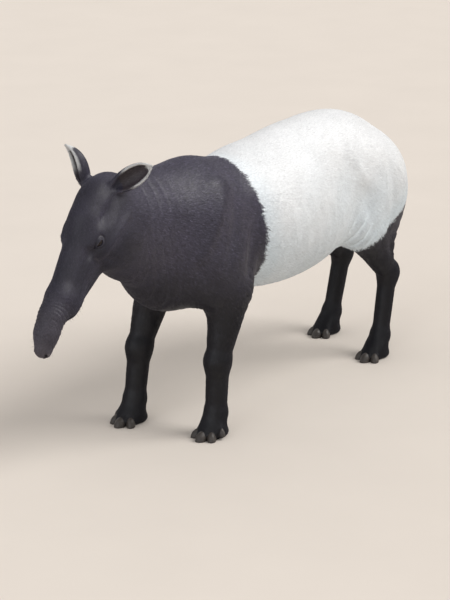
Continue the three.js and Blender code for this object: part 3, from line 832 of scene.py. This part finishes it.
def eyeball(node, side):
    centre = from_head(from_eye(0, 0, 0, side))
    look = from_head(from_eye(0, 1, 0, side)) - centre
    across = unit(np.cross(look, (0, 0, 1)))
    upward = np.cross(across, look)
    angles = np.repeat(np.linspace(0, 180, EYE_RINGS + 1)[1:-1], EYE_SEGMENTS)
    turns = np.tile(np.arange(EYE_SEGMENTS) * 2 * math.pi / EYE_SEGMENTS, EYE_RINGS - 1)
    angles = np.concatenate([[0.0], angles, [180.0]])
    t = np.concatenate([[0.0], turns, [0.0]])
    radius = EYE_RADIUS * (1 - CORNEA_BULGE + CORNEA_BULGE * (1 - ramp(angles, *CORNEA_ANGLES)))
    a = np.radians(angles)
    local = np.column_stack([np.cos(a), np.sin(a) * np.cos(t), np.sin(a) * np.sin(t)]) * radius[:, None]
    points = centre + TO_FRAME + local @ np.array([look, across, upward])
    last = len(points) - 1
    rim = last - EYE_SEGMENTS
    faces = [face[::-1] for face in wall(1, EYE_RINGS - 1, EYE_SEGMENTS)]
    for j in range(EYE_SEGMENTS):
        after = (j + 1) % EYE_SEGMENTS
        faces += [(0, 1 + j, 1 + after), (last, rim + after, rim + j)]
    mesh = mesh_of(node.replace("eye", "eyeball"), points, np.array(faces))
    gaze = mesh.attributes.new("gaze", "FLOAT", "POINT")
    flattened = np.hypot(np.cos(t) * PUPIL_WIDENING, np.sin(t)) * angles / GAZE_RANGE
    gaze.data.foreach_set("value", flattened.astype(np.float32))
    piece = add_object(mesh)
    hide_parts(node)
    return piece


# Markings: a white saddle and rump between black forequarters and black hind legs

BORDER_X, BORDER_LEAN = 0.262, 0.05
FLANK_FOLD, BUTTOCK = (0.860, 0.452), (1.290, 0.636)
BORDER_RAGGED = 0.010
BLACK_COAT = np.array([0.0520, 0.0475, 0.0720])
# Painted shade: a darker black for the legs, lower chest and belly, so the black is lighter above and darker
# below.
LOW_BLACK_PAINTED_SHADE = np.array([0.0050, 0.0048, 0.0082])
FACE_GREY = np.array([0.0150, 0.0142, 0.0215])
MUZZLE = np.array([0.1050, 0.0920, 0.1060])
MOUTH_INSIDE = np.array([0.030, 0.014, 0.015])
EAR_INSIDE = np.array([0.0560, 0.0440, 0.0450])
WHITE_TOP = np.array([0.895, 0.908, 0.920])
# Painted shade: the bluish grey that the white turns to lower down, under the brighter top.
WHITE_PAINTED_SHADE = np.array([0.735, 0.820, 0.875])
EAR_WHITE = np.array([0.740, 0.745, 0.740])
SKIN_DARKER = 0.9


def ripple(p, scale, seed):
    """A smooth uneven value between -1 and 1 over the body."""
    x, y, z = (axis * scale for axis in p)
    total = np.sin(x + 1.7 * y + seed) + np.sin(1.3 * y - 1.1 * z + 2 * seed)
    return (total + np.sin(1.9 * z + 0.8 * x - seed) + np.sin(2.7 * x - 2.3 * z + 3 * seed)) / 4


def white_edge(p):
    """How far inside the white part a point lies."""
    x, y, z = p
    front = x - BORDER_X - BORDER_LEAN * (0.7 - z)
    run = (BUTTOCK[0] - FLANK_FOLD[0], BUTTOCK[1] - FLANK_FOLD[1])
    rear = ((z - FLANK_FOLD[1]) * run[0] - (x - FLANK_FOLD[0]) * run[1]) / math.hypot(*run)
    return np.minimum(front, rear) + 0.5 * BORDER_RAGGED * (ripple(p, 60, 1) + ripple(p, 170, 2))


def on_ear(p, side):
    """(share of the ear's length, share of its half width, whether it is the cup's inner wall)."""
    x, y, z = to_frame(p, *ear_frame(side))
    u = z / EAR_LENGTH
    radius, wrap, wall, centre = ear_section(np.clip(u, EAR_FLOOR, 1.0))
    angle = np.arctan2(y, centre - x)
    spoke = np.hypot(x - centre, y)
    near = np.abs(spoke - radius + EAR_SUNK + wall / 2) < wall * 0.5 + 0.005
    return np.where(near, u, -1.0), angle / wrap, spoke < radius - EAR_SUNK - wall / 2


def blended(base, other, share):
    return base + (other - base) * np.asarray(share)[:, None]


def black_part(p):
    """Black with painted shade that darkens it lower down the body and down the legs, greyer on the face and
    muzzle, with a dark line for the mouth.
    """
    forward, left, up = in_head(p)
    colour = np.repeat(BLACK_COAT[None], len(p[0]), 0)
    head = 1 - ramp(p[0], -0.44, -0.26)
    # Painted shade: the black grows darker lower down the body and down the legs.
    leg = (1 - ramp(p[2] + 0.05 * ripple(p, 11, 6), 0.36, 0.82)) * (1 - head)
    colour = blended(colour, LOW_BLACK_PAINTED_SHADE, leg)
    colour = colour * (1 + 0.16 * ripple(p, 14, 8) + 0.10 * ripple(p, 47, 9))[:, None]
    colour = blended(colour, FACE_GREY, head * (0.55 + 0.3 * ripple(p, 22, 5)))
    colour = blended(colour, FACE_GREY * 1.3, head * ramp(-up, 0.02, 0.10) * 0.6)
    colour = blended(colour, MUZZLE, 0.35 * ramp(forward, 0.40, 0.56) + 0.4 * ramp(forward, 0.575, 0.615))
    lip = 1 - ramp(np.abs(up - mouth_line(forward)), 0.0012, 0.0040)
    mouth = lip * ramp(forward, MOUTH_CORNER, MOUTH_CORNER + 0.02)
    return blended(colour, MOUTH_INSIDE, mouth * (1 - ramp(forward, MOUTH_FRONT, MOUTH_FRONT + 0.004)))


def white_part(p, edge):
    """White with painted shade that turns it bluish grey lower down towards the belly, and bluish towards
    the border as well.
    """
    # Painted shade: lower down, the white is blended towards a shaded bluish grey.
    low = 1 - ramp(p[2] + 0.10 * ripple(p, 9, 7), 0.44, 0.94)
    painted_shade_and_border_tint = np.clip(0.85 * low + 0.45 * (1 - ramp(edge, 0.0, 0.10)), 0, 1)
    white = blended(np.repeat(WHITE_TOP[None], len(edge), 0), WHITE_PAINTED_SHADE, painted_shade_and_border_tint)
    return white * (1 - 0.025 * ripple(p, 30, 3))[:, None]


def pelt(p, ragged=0.0):
    """The coat's colour at each point; ragged flips single tufts near the borders."""
    edge = white_edge(p) + ragged
    colour = blended(black_part(p), white_part(p, edge), ramp(edge, -0.003, 0.003))
    for side in SIDES:
        u, across, inner = on_ear(p, side)
        colour = blended(colour, EAR_INSIDE, (inner & (u > 0.05)) * 0.7)
        rim = ramp(np.abs(across), 0.80, 0.96) * ramp(u, 0.20, 0.45) * 0.75
        tip = ramp(u + 0.03 * ripple(p, 140, 4) + 0.6 * ragged, 0.76, 0.84)
        colour = blended(colour, EAR_WHITE, np.maximum(rim, tip) * (u > 0))
    return colour


def paint(mesh, colour):
    layer = mesh.color_attributes.new("pelt", "FLOAT_COLOR", "POINT")
    rgba = np.column_stack([np.clip(colour, 0, 1), np.ones(len(colour))])
    layer.data.foreach_set("color", rgba.astype(np.float32).ravel())


def stance(points):
    """World points as the stance's (x, y, z)."""
    return points[:, 0] - ORIGIN_SHIFT, points[:, 1], points[:, 2]


def gathered(items, what, kind=np.float32):
    """Three numbers of each item of a mesh, as rows."""
    flat = np.empty(len(items) * 3, kind)
    items.foreach_get(what, flat)
    return flat.reshape(-1, 3)


skin_points = gathered(skin.data.vertices, "co").astype(float)
paint(skin.data, pelt(stance(skin_points)) * SKIN_DARKER)

# Coat: short overlapping tufts that follow the lie of the hair

TUFT_COVER = 2.6
TUFT_SLIM = 0.20
TUFT_SUNK = 0.0008
TUFT_SWING = 11
TUFT_FACES = np.array([(0, 3, 2), (1, 2, 3), (0, 2, 1), (0, 1, 3)])
BODY_HAIR, BELLY_LONGER, FACE_HAIR, LEG_HAIR = 0.0135, 0.0030, 0.0078, 0.0085
MUZZLE_SHORTER, EYE_SHORTER, FOOT_SHORTER = 0.0022, 0.0044, 0.0035
BACK_LIE, LEG_LIE = np.array([1.0, 0, -0.22]), np.array([0.18, 0, -1.0])
FACE_LIE = -HEAD_FORWARD + 0.25 * HEAD_UP
BARE_TAIL_TIP, BARE_NOSTRIL, BARE_MOUTH, BARE_LID, BARE_SOLE = 0.015, 0.012, 0.0028, 0.0016, 0.004
PATCH_SIZE = 0.003


def tuft_length(p):
    """Shortest on the face, ears and feet, longest on the belly."""
    x, y, z = p
    h = in_head(p)
    body = x > FACE_BEFORE
    length = BODY_HAIR + BELLY_LONGER * (1 - ramp(z, 0.42, 0.62))
    length = length + (FACE_HAIR - length) * (1 - ramp(x, -0.42, -0.16))
    length = length - MUZZLE_SHORTER * ramp(h[0], 0.36, 0.50) * (x < FACE_BEFORE)
    eye = np.sqrt((h[0] - EYE[0]) ** 2 + (np.abs(h[1]) - 0.070) ** 2 + (h[2] - EYE[2]) ** 2)
    length = length - EYE_SHORTER * (1 - ramp(eye, 0.018, 0.060))
    length = length + (LEG_HAIR - length) * ((1 - ramp(z, 0.24, 0.50)) * body)
    return length - FOOT_SHORTER * (1 - ramp(z, 0.03, 0.12)) * body


def on_tail(p, root_x, root_z, reach):
    x, y, z = p
    return (x > root_x) & (np.abs(y) < 0.04) & (z > root_z) & (tail_field(p) < reach)


def lie_of_hair(p, normals):
    """The way the hair points: back along the body, down the legs, up the face and out along the ears."""
    x, y, z = p
    lie = np.repeat(BACK_LIE[None], len(x), 0)
    lie[:, 2] -= 0.5 * (1 - ramp(np.abs(normals[:, 2]), 0.1, 0.8))
    lie = blended(lie, LEG_LIE, (1 - ramp(z, 0.40, 0.60)) * ((x < 0.24) | (x > 0.88)) * (x > -0.2))
    lie = blended(lie, FACE_LIE, 1 - ramp(x, -0.48, -0.30))
    lie = blended(lie, TAIL_WAY, on_tail(p, 1.15, 0.70, 0.010))
    for side in SIDES:
        lie = blended(lie, ear_frame(side)[1][2], ramp(on_ear(p, side)[0], 0.02, 0.12))
    lie = lie - (lie * normals).sum(1)[:, None] * normals
    return lie / np.maximum(np.linalg.norm(lie, axis=1), 1e-6)[:, None]


def unwrapped(p, region, side):
    """A place in the unit square for each point: turned round its part, and along it."""
    x, y, z = p
    if region.startswith("ear"):
        u, across, inner = on_ear(p, side)
        turn = np.clip(0.25 + 0.2 * across, 0, 0.5) + 0.5 * inner
        along = to_frame(p, *ear_frame(side))[2] / EAR_LENGTH * 0.75 + 0.22
    elif region == "head":
        h = in_head(p)
        turn, along = np.abs(np.arctan2(h[1], h[2] + 0.03)) / math.pi, (h[0] + 0.20) / 0.85
    elif region.endswith("_leg"):
        kind = region[: -len("_leg")]
        middle = STANCE[kind, side] + {"fore": 0.04, "hind": 0.10}[kind] * ramp(z, 0.05, 0.45)
        turn, along = np.arctan2(y - side * TRACK, x - middle) / (2 * math.pi) + 0.5, z / 0.55
    else:
        turn, along = np.abs(np.arctan2(y, z - 0.68)) / math.pi, (x + 0.5) / 1.9
    return 0.02 + 0.96 * np.clip(np.column_stack([turn, along]), 0, 1)


def region_of(p):
    x, y, z = p
    region = np.full(len(x), "barrel", dtype="<U8")
    region[x < BORDER_X] = "shoulder"
    region[x > 0.78] = "rump"
    region[x < -0.02] = "neck"
    region[(z < 0.47) & (x < BORDER_X)] = "fore_leg"
    region[(z < 0.50) & (x > 0.84)] = "hind_leg"
    region[x < -0.29] = "head"
    region[on_tail(p, 1.17, 0.74, 0.012)] = "tail"
    for side in SIDES:
        u = on_ear(p, side)[0]
        region[(u > 0.10) & (u <= 0.78)] = "ear"
        region[u > 0.78] = "ear_tip"
    return region


def is_bare(p):
    """No hair grows in the mouth, nostrils and eyes, on the soles and hooves, or at the tail's tip."""
    h = in_head(p)
    bare = np.abs(h[2] - mouth_line(h[0])) < BARE_MOUTH
    bare &= (h[0] > MOUTH_CORNER) & (h[0] < MOUTH_FRONT)
    for side in SIDES:
        bare |= sum(d * d for d in in_nostril(h, side)) < BARE_NOSTRIL**2
        along, out, up = in_eye(h, side)
        bare |= (oval(along, up, *LID_OPENING) < BARE_LID) & (out > -0.01) & (out < 0.03)
    down_tail = sum((p[i] - TAIL_ROOT[i]) * TAIL_WAY[i] for i in range(3))
    bare |= (p[2] < BARE_SOLE) | ((tail_field(p) < 0.010) & (down_tail > TAIL_LENGTH - BARE_TAIL_TIP))
    for kind, side in STANCE:
        for toe in toes_of(kind, side):
            near = np.nonzero(sum((p[i] - toe.tip[i]) ** 2 for i in range(3)) < 0.05**2)[0]
            bare[near] |= hoof_field(toe, side)(tuple(axis[near] for axis in p)) < 0.0015
    return bare


def tuft_roots():
    """Places and directions for all tufts, spread evenly for their size."""
    mesh = skin.data
    mesh.calc_loop_triangles()
    corners = gathered(mesh.loop_triangles, "vertices", np.int32)
    normals = gathered(mesh.vertex_normals, "vector").astype(float)
    a, b, c = (skin_points[corners[:, i]] for i in range(3))
    area = np.linalg.norm(np.cross(b - a, c - a), axis=1) / 2
    size = tuft_length(stance((a + b + c) / 3))
    expected = TUFT_COVER * area / (size * size * TUFT_SLIM)
    count = np.floor(expected + rng.random(len(area))).astype(int)
    which = np.repeat(np.arange(len(area)), count)
    s, t = rng.random(len(which)), rng.random(len(which))
    over = s + t > 1
    s[over], t[over] = 1 - s[over], 1 - t[over]
    share = np.column_stack([1 - s - t, s, t])
    roots, normal = (
        sum(share[:, i, None] * rows[corners[which, i]] for i in range(3)) for rows in (skin_points, normals)
    )
    grown = ~is_bare(stance(roots))
    return roots[grown], unit(normal)[grown]


def tuft_colours(p):
    """One colour for each tuft, with a few darker ones in the white, and a few lighter ones in the black as
    painted glints of sheen.
    """
    count = len(p[0])
    colour = pelt(p, rng.normal(0, 0.004, count))
    light = colour.mean(1) > 0.2
    uneven = np.where(light, rng.normal(1, 0.05, count), rng.normal(1, 0.28, count))
    dark_fleck_and_glint_draw = rng.random(count)
    # Painted highlight: a few black tufts are made lighter to stand for glints of sheen.
    uneven = uneven * np.where(light & (dark_fleck_and_glint_draw < 0.04), 0.78, 1) * np.where(~light & (dark_fleck_and_glint_draw < 0.07), 1.7, 1)
    return colour * np.clip(uneven, 0.45, 2.4)[:, None]


def grow_tufts(region, side, roots, normals):
    """One piece of the coat, each tuft a closed blade with four corners."""
    p = stance(roots)
    count = len(roots)
    lie = lie_of_hair(p, normals)
    aside = np.cross(normals, lie)
    swing = np.radians(rng.normal(0, TUFT_SWING, count))[:, None]
    lie, aside = lie * np.cos(swing) + aside * np.sin(swing), aside * np.cos(swing) - lie * np.sin(swing)
    length = (tuft_length(p) * rng.uniform(0.75, 1.25, count))[:, None]
    width = length * TUFT_SLIM * rng.uniform(0.8, 1.2, count)[:, None] / 2
    rise = length * rng.uniform(0.10, 0.17, count)[:, None]
    foot = roots - normals * TUFT_SUNK
    middle, end = (roots + lie * length * 0.45 + normals * rise, roots + lie * length + normals * rise * 0.8)
    points = np.stack([foot - aside * width, foot + aside * width, middle, end], axis=1)
    faces = (np.arange(count)[:, None, None] * 4 + TUFT_FACES).reshape(-1, 3)
    mesh = mesh_of("coat_%s_%s" % (region, SIDES[side]), points.reshape(-1, 3), faces)
    flank = [normals + turn * aside - 0.1 * lie for turn in (-0.35, 0.35)]
    shade = unit(np.stack([*flank, normals, normals + 0.2 * lie], axis=1))
    mesh.normals_split_custom_set_from_vertices(shade.reshape(-1, 3))
    paint(mesh, np.repeat(tuft_colours(p), 4, 0))
    offsets = np.array([(-0.5, 0), (0.5, 0), (0, 0.5), (0, 1)]) * PATCH_SIZE
    uv = unwrapped(p, region, side)[:, None, None, :] + offsets[TUFT_FACES][None]
    layer = mesh.uv_layers.new(name="OFBake")
    layer.data.foreach_set("uv", uv.ravel().astype(np.float32))
    piece = add_object(mesh)
    return piece


def whole_coat():
    roots, normals = tuft_roots()
    p = stance(roots)
    regions = region_of(p)
    pieces = []
    for region in sorted(set(regions)):
        for side in SIDES:
            across = in_head(p)[1] if region == "head" else -p[1]
            here = (across > 0) == (side == LEFT)
            if region.startswith("ear"):
                here = on_ear(p, side)[0] > 0
            here &= regions == region
            pieces.append(grow_tufts(region, side, roots[here], normals[here]))
    return pieces


coat_pieces = whole_coat()

# Lashes and whiskers: tapering hairs, each a closed three-sided spike

SPIKE_SIDES, SPIKE_STEPS = 3, 4
LASH_LENGTHS, LASH_RADIUS, LASH_DROOP = (0.007, 0.010), 0.00035, (0, 0, -0.35)
WHISKER_LENGTHS, WHISKER_RADIUS, WHISKER_DROOP = (0.010, 0.019), 0.00032, (0, 0, -0.2)
LASHES_PER_EYE, WHISKERS = 17, 110


def spikes(name, roots, ways, droop, lengths, radius):
    points, faces = [], []
    for root, way, length in zip(roots, ways, lengths):
        way = unit(way)
        beside = unit(np.cross(way, (0.3, 0.2, 0.9)))
        over = np.cross(way, beside)
        start = len(points)
        for step in range(SPIKE_STEPS):
            t = step / SPIKE_STEPS
            middle = root + way * length * t + np.array(droop) * length * t * t
            for k in range(SPIKE_SIDES):
                turn = 2 * math.pi * k / SPIKE_SIDES
                points.append(middle + radius * (1 - t) * (math.cos(turn) * beside + math.sin(turn) * over))
        points.append(root + way * length + np.array(droop) * length)
        tip = len(points) - 1
        faces += [(start, start + 2, start + 1), *wall(start, SPIKE_STEPS, SPIKE_SIDES)]
        rim = tip - SPIKE_SIDES
        faces += [(rim + k, rim + (k + 1) % SPIKE_SIDES, tip) for k in range(SPIKE_SIDES)]
    mesh = mesh_of(name, np.array(points), np.array(faces))
    piece = add_object(mesh)
    return piece


def lashes():
    roots, ways = [], []
    for side in SIDES:
        for turn in np.radians(np.linspace(25, 160, LASHES_PER_EYE)):
            along, up = math.cos(turn) * LID_OPENING[0], math.sin(turn) * (LID_OPENING[1] + 0.0015)
            ball = math.sqrt(EYE_RADIUS**2 - along * along - up * up)
            root = from_head(from_eye(along, ball + 0.002, up, side))
            roots.append(root)
            ways.append(from_head(from_eye(along * 1.9, ball + 0.012, up * 1.5, side)) - root)
    lengths = rng.uniform(*LASH_LENGTHS, len(roots))
    return spikes("lashes", np.array(roots) + TO_FRAME, ways, LASH_DROOP, lengths, LASH_RADIUS)


def whiskers():
    """Hairs that stand out from the lower sides of the muzzle."""
    h = np.array(in_head(stance(skin_points))).T
    muzzle = (h[:, 0] > 0.34) & (h[:, 0] < 0.60) & (np.hypot(h[:, 1], h[:, 2] + 0.04) < 0.09)
    chosen = rng.choice(np.nonzero(muzzle & (h[:, 2] < -0.02))[0], WHISKERS, replace=False)
    outwards = unit(h[chosen] * (0, 1, 1) - (0, 0, -0.03))
    ways = (outwards + (0.5, 0, 0)) @ HEAD_AXES + rng.normal(0, 0.15, (WHISKERS, 3))
    lengths = rng.uniform(*WHISKER_LENGTHS, WHISKERS)
    return spikes("whiskers", skin_points[chosen], ways, WHISKER_DROOP, lengths, WHISKER_RADIUS)


# Materials: each has procedural colour, roughness and relief


def set_inputs(node, **values):
    """Inputs by name, with _ for each space."""
    for name, value in values.items():
        node.inputs[name.replace("_", " ")].default_value = value
    return node


def noise(tree, scale, detail, stretch=(1, 1, 1)):
    place = tree.nodes.new("ShaderNodeTexCoord")
    turned = set_inputs(tree.nodes.new("ShaderNodeMapping"), Scale=stretch)
    cloud = set_inputs(tree.nodes.new("ShaderNodeTexNoise"), Scale=scale, Detail=detail)
    tree.links.new(place.outputs["Object"], turned.inputs["Vector"])
    tree.links.new(turned.outputs["Vector"], cloud.inputs["Vector"])
    return cloud.outputs["Fac"]


def uneven(tree, low, high, *cloud):
    """A value that noise, mostly between 0.3 and 0.7, carries from low to high."""
    node = set_inputs(tree.nodes.new("ShaderNodeMapRange"), From_Min=0.3, From_Max=0.7)
    set_inputs(node, To_Min=low, To_Max=high)
    tree.links.new(noise(tree, *cloud), node.inputs["Value"])
    return node.outputs["Result"]


def multiplied(tree, colour, factor):
    node = tree.nodes.new("ShaderNodeVectorMath")
    node.operation = "SCALE"
    tree.links.new(colour, node.inputs[0])
    tree.links.new(factor, node.inputs["Scale"])
    return node.outputs["Vector"]


def attribute(tree, name, output):
    node = tree.nodes.new("ShaderNodeAttribute")
    node.attribute_name = name
    return node.outputs[output]


def colours_along(tree, value, stops):
    """A colour for each value, blended between (value, colour) stops."""
    node = tree.nodes.new("ShaderNodeValToRGB")
    elements = node.color_ramp.elements
    for place, colour in stops[1:-1]:
        elements.new(place).color = (*colour, 1)
    elements[0].color, elements[-1].color = (*stops[0][1], 1), (*stops[-1][1], 1)
    tree.links.new(value, node.inputs["Fac"])
    return node.outputs["Color"]


def material(name, colour_of, rough=None, relief=None, **inputs):
    """colour_of builds the colour, rough is (low, high, noise) and relief (depth, noise)."""
    made = bpy.data.materials.new(name)
    made.use_nodes = True
    tree = made.node_tree
    shader = set_inputs(tree.nodes["Principled BSDF"], **inputs)
    tree.links.new(colour_of(tree), shader.inputs["Base Color"])
    if rough:
        tree.links.new(uneven(tree, *rough), shader.inputs["Roughness"])
    if relief:
        bump = set_inputs(tree.nodes.new("ShaderNodeBump"), Strength=1.0, Distance=relief[0])
        tree.links.new(noise(tree, *relief[1:]), bump.inputs["Height"])
        tree.links.new(bump.outputs["Normal"], shader.inputs["Normal"])
    return made


def pelt_material(name, rough_low, rough_high, sheen, grain, relief):
    """Hair or hide in the painted colour, with large soft patches and fine flecks."""

    def colour_of(tree):
        patches = multiplied(tree, attribute(tree, "pelt", "Color"), uneven(tree, 0.95, 1.05, 7, 4))
        return multiplied(tree, patches, uneven(tree, 0.90, 1.10, grain, 2))

    made = material(name, colour_of, (rough_low, rough_high, 60, 3), (relief, grain, 5), Sheen_Weight=sheen)
    shader = made.node_tree.nodes["Principled BSDF"]
    set_inputs(shader, Specular_IOR_Level=0.36, Sheen_Roughness=0.45, Sheen_Tint=(0.86, 0.84, 1.0, 1))
    return made


def horn_colour(tree):
    stops = [(0, (0.013, 0.011, 0.011)), (1, (0.056, 0.045, 0.038))]
    return colours_along(tree, noise(tree, 45, 5, (1, 1, 3.5)), stops)


def eye_colour(tree):
    """From the middle of the pupil, over its edge and the iris, to the white."""
    stops = [
        (0.00, (0.002, 0.002, 0.003)),
        (0.185, (0.002, 0.002, 0.003)),
        (0.215, (0.014, 0.007, 0.004)),
        (0.42, (0.010, 0.005, 0.003)),
        (0.50, (0.004, 0.003, 0.003)),
        (0.60, (0.040, 0.028, 0.026)),
        (1.00, (0.060, 0.036, 0.033)),
    ]
    colour = colours_along(tree, attribute(tree, "gaze", "Fac"), stops)
    return multiplied(tree, colour, uneven(tree, 0.7, 1.3, 900, 4))


def floor_colour(tree):
    stops = [(0, (0.650, 0.597, 0.542)), (1, (0.692, 0.635, 0.577))]
    return colours_along(tree, noise(tree, 2.5, 4), stops)


hide = pelt_material("hide", 0.44, 0.60, 0.06, 700, 0.0006)
hair = pelt_material("hair", 0.30, 0.44, 0.06, 1500, 0.0002)
lash_hair = pelt_material("lash_hair", 0.35, 0.5, 0.0, 900, 0.0001)
horn = material("hoof_horn", horn_colour, (0.38, 0.62, 90, 3), (0.0004, 420, 4, (1, 1, 0.25)))
wet_eye = material("eye_wet", eye_colour, (0.10, 0.20, 300, 2), IOR=1.33, Specular_IOR_Level=0.3)
set_inputs(wet_eye.node_tree.nodes["Principled BSDF"], Coat_Weight=0.22, Coat_Roughness=0.02)
paper = material("floor_paper", floor_colour, Roughness=0.95, Specular_IOR_Level=0.1)
LASH_COLOUR = BLACK_COAT * 1.4

eyes = [eyeball("eye_left", LEFT), eyeball("eye_right", RIGHT)]
lash_piece, whisker_piece = lashes(), whiskers()
for piece in (lash_piece, whisker_piece):
    paint(piece.data, np.repeat(LASH_COLOUR[None], len(piece.data.vertices), 0))
    piece.data.materials.append(lash_hair)
skin.data.materials.append(hide)
for piece in coat_pieces:
    piece.data.materials.append(hair)
for piece in hoof_pieces:
    piece.data.materials.append(horn)
for piece in eyes:
    piece.data.materials.append(wet_eye)

flesh = [name for name in frame["nodes"] if not name.startswith(("eye", "hoof"))]
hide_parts(*flesh)
for piece in [skin, lash_piece, whisker_piece, *coat_pieces, *hoof_pieces, *eyes]:
    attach(piece, "root")

# Floor, light and camera

FLOOR_RADIUS, FLOOR_SIDES = 60, 96
AIM = Vector((0.301 + ORIGIN_SHIFT, 0, 0.395))
CAMERA_AZIMUTH, CAMERA_ELEVATION, CAMERA_DISTANCE = -53.46, 17.65, 8.0
CAMERA_FIELD = 15.36
WORLD_COLOUR, WORLD_STRENGTH = (1.0, 0.975, 0.95, 1), 0.70

turns = np.linspace(0, 2 * math.pi, FLOOR_SIDES + 1)[:-1]
rim = np.column_stack([np.cos(turns), np.sin(turns), np.zeros(FLOOR_SIDES)]) * FLOOR_RADIUS
floor_faces = np.array([(0, 1 + i, 1 + (i + 1) % FLOOR_SIDES) for i in range(FLOOR_SIDES)])
floor = add_object(mesh_of("floor", np.vstack([[(0, 0, 0)], rim]), floor_faces))
floor.data.materials.append(paper)


def aimed(thing, azimuth, elevation, distance):
    """A lamp or camera that looks at the model from a side: azimuth 0 looks along +Y."""
    a, e = math.radians(azimuth), math.radians(elevation)
    way = Vector((math.sin(a) * math.cos(e), -math.cos(a) * math.cos(e), math.sin(e)))
    thing.location = AIM + way * distance
    thing.rotation_euler = way.to_track_quat("Z", "Y").to_euler()
    bpy.context.scene.collection.objects.link(thing)
    return thing


def broad_light(name, azimuth, elevation, width, power, colour):
    """A far lamp as wide as a softbox, so that the floor is lit as evenly far off as near by."""
    lamp = bpy.data.lights.new(name, "SUN")
    lamp.energy, lamp.angle, lamp.color = power, math.radians(width), colour
    aimed(bpy.data.objects.new(name, lamp), azimuth, elevation, CAMERA_DISTANCE)


broad_light("key", 36, 46, 34, 1.88, (1.0, 0.985, 0.965))
broad_light("fill", -85, 20, 50, 0.70, (0.90, 0.93, 1.0))
world = bpy.data.worlds.new("studio")
world.use_nodes = True
set_inputs(world.node_tree.nodes["Background"], Color=WORLD_COLOUR, Strength=WORLD_STRENGTH)
bpy.context.scene.world = world
bpy.context.scene.view_settings.view_transform = "Standard"

lens = bpy.data.cameras.new("camera")
lens.angle = math.radians(CAMERA_FIELD)
camera = bpy.data.objects.new("camera", lens)
bpy.context.scene.camera = aimed(camera, CAMERA_AZIMUTH, CAMERA_ELEVATION, CAMERA_DISTANCE)
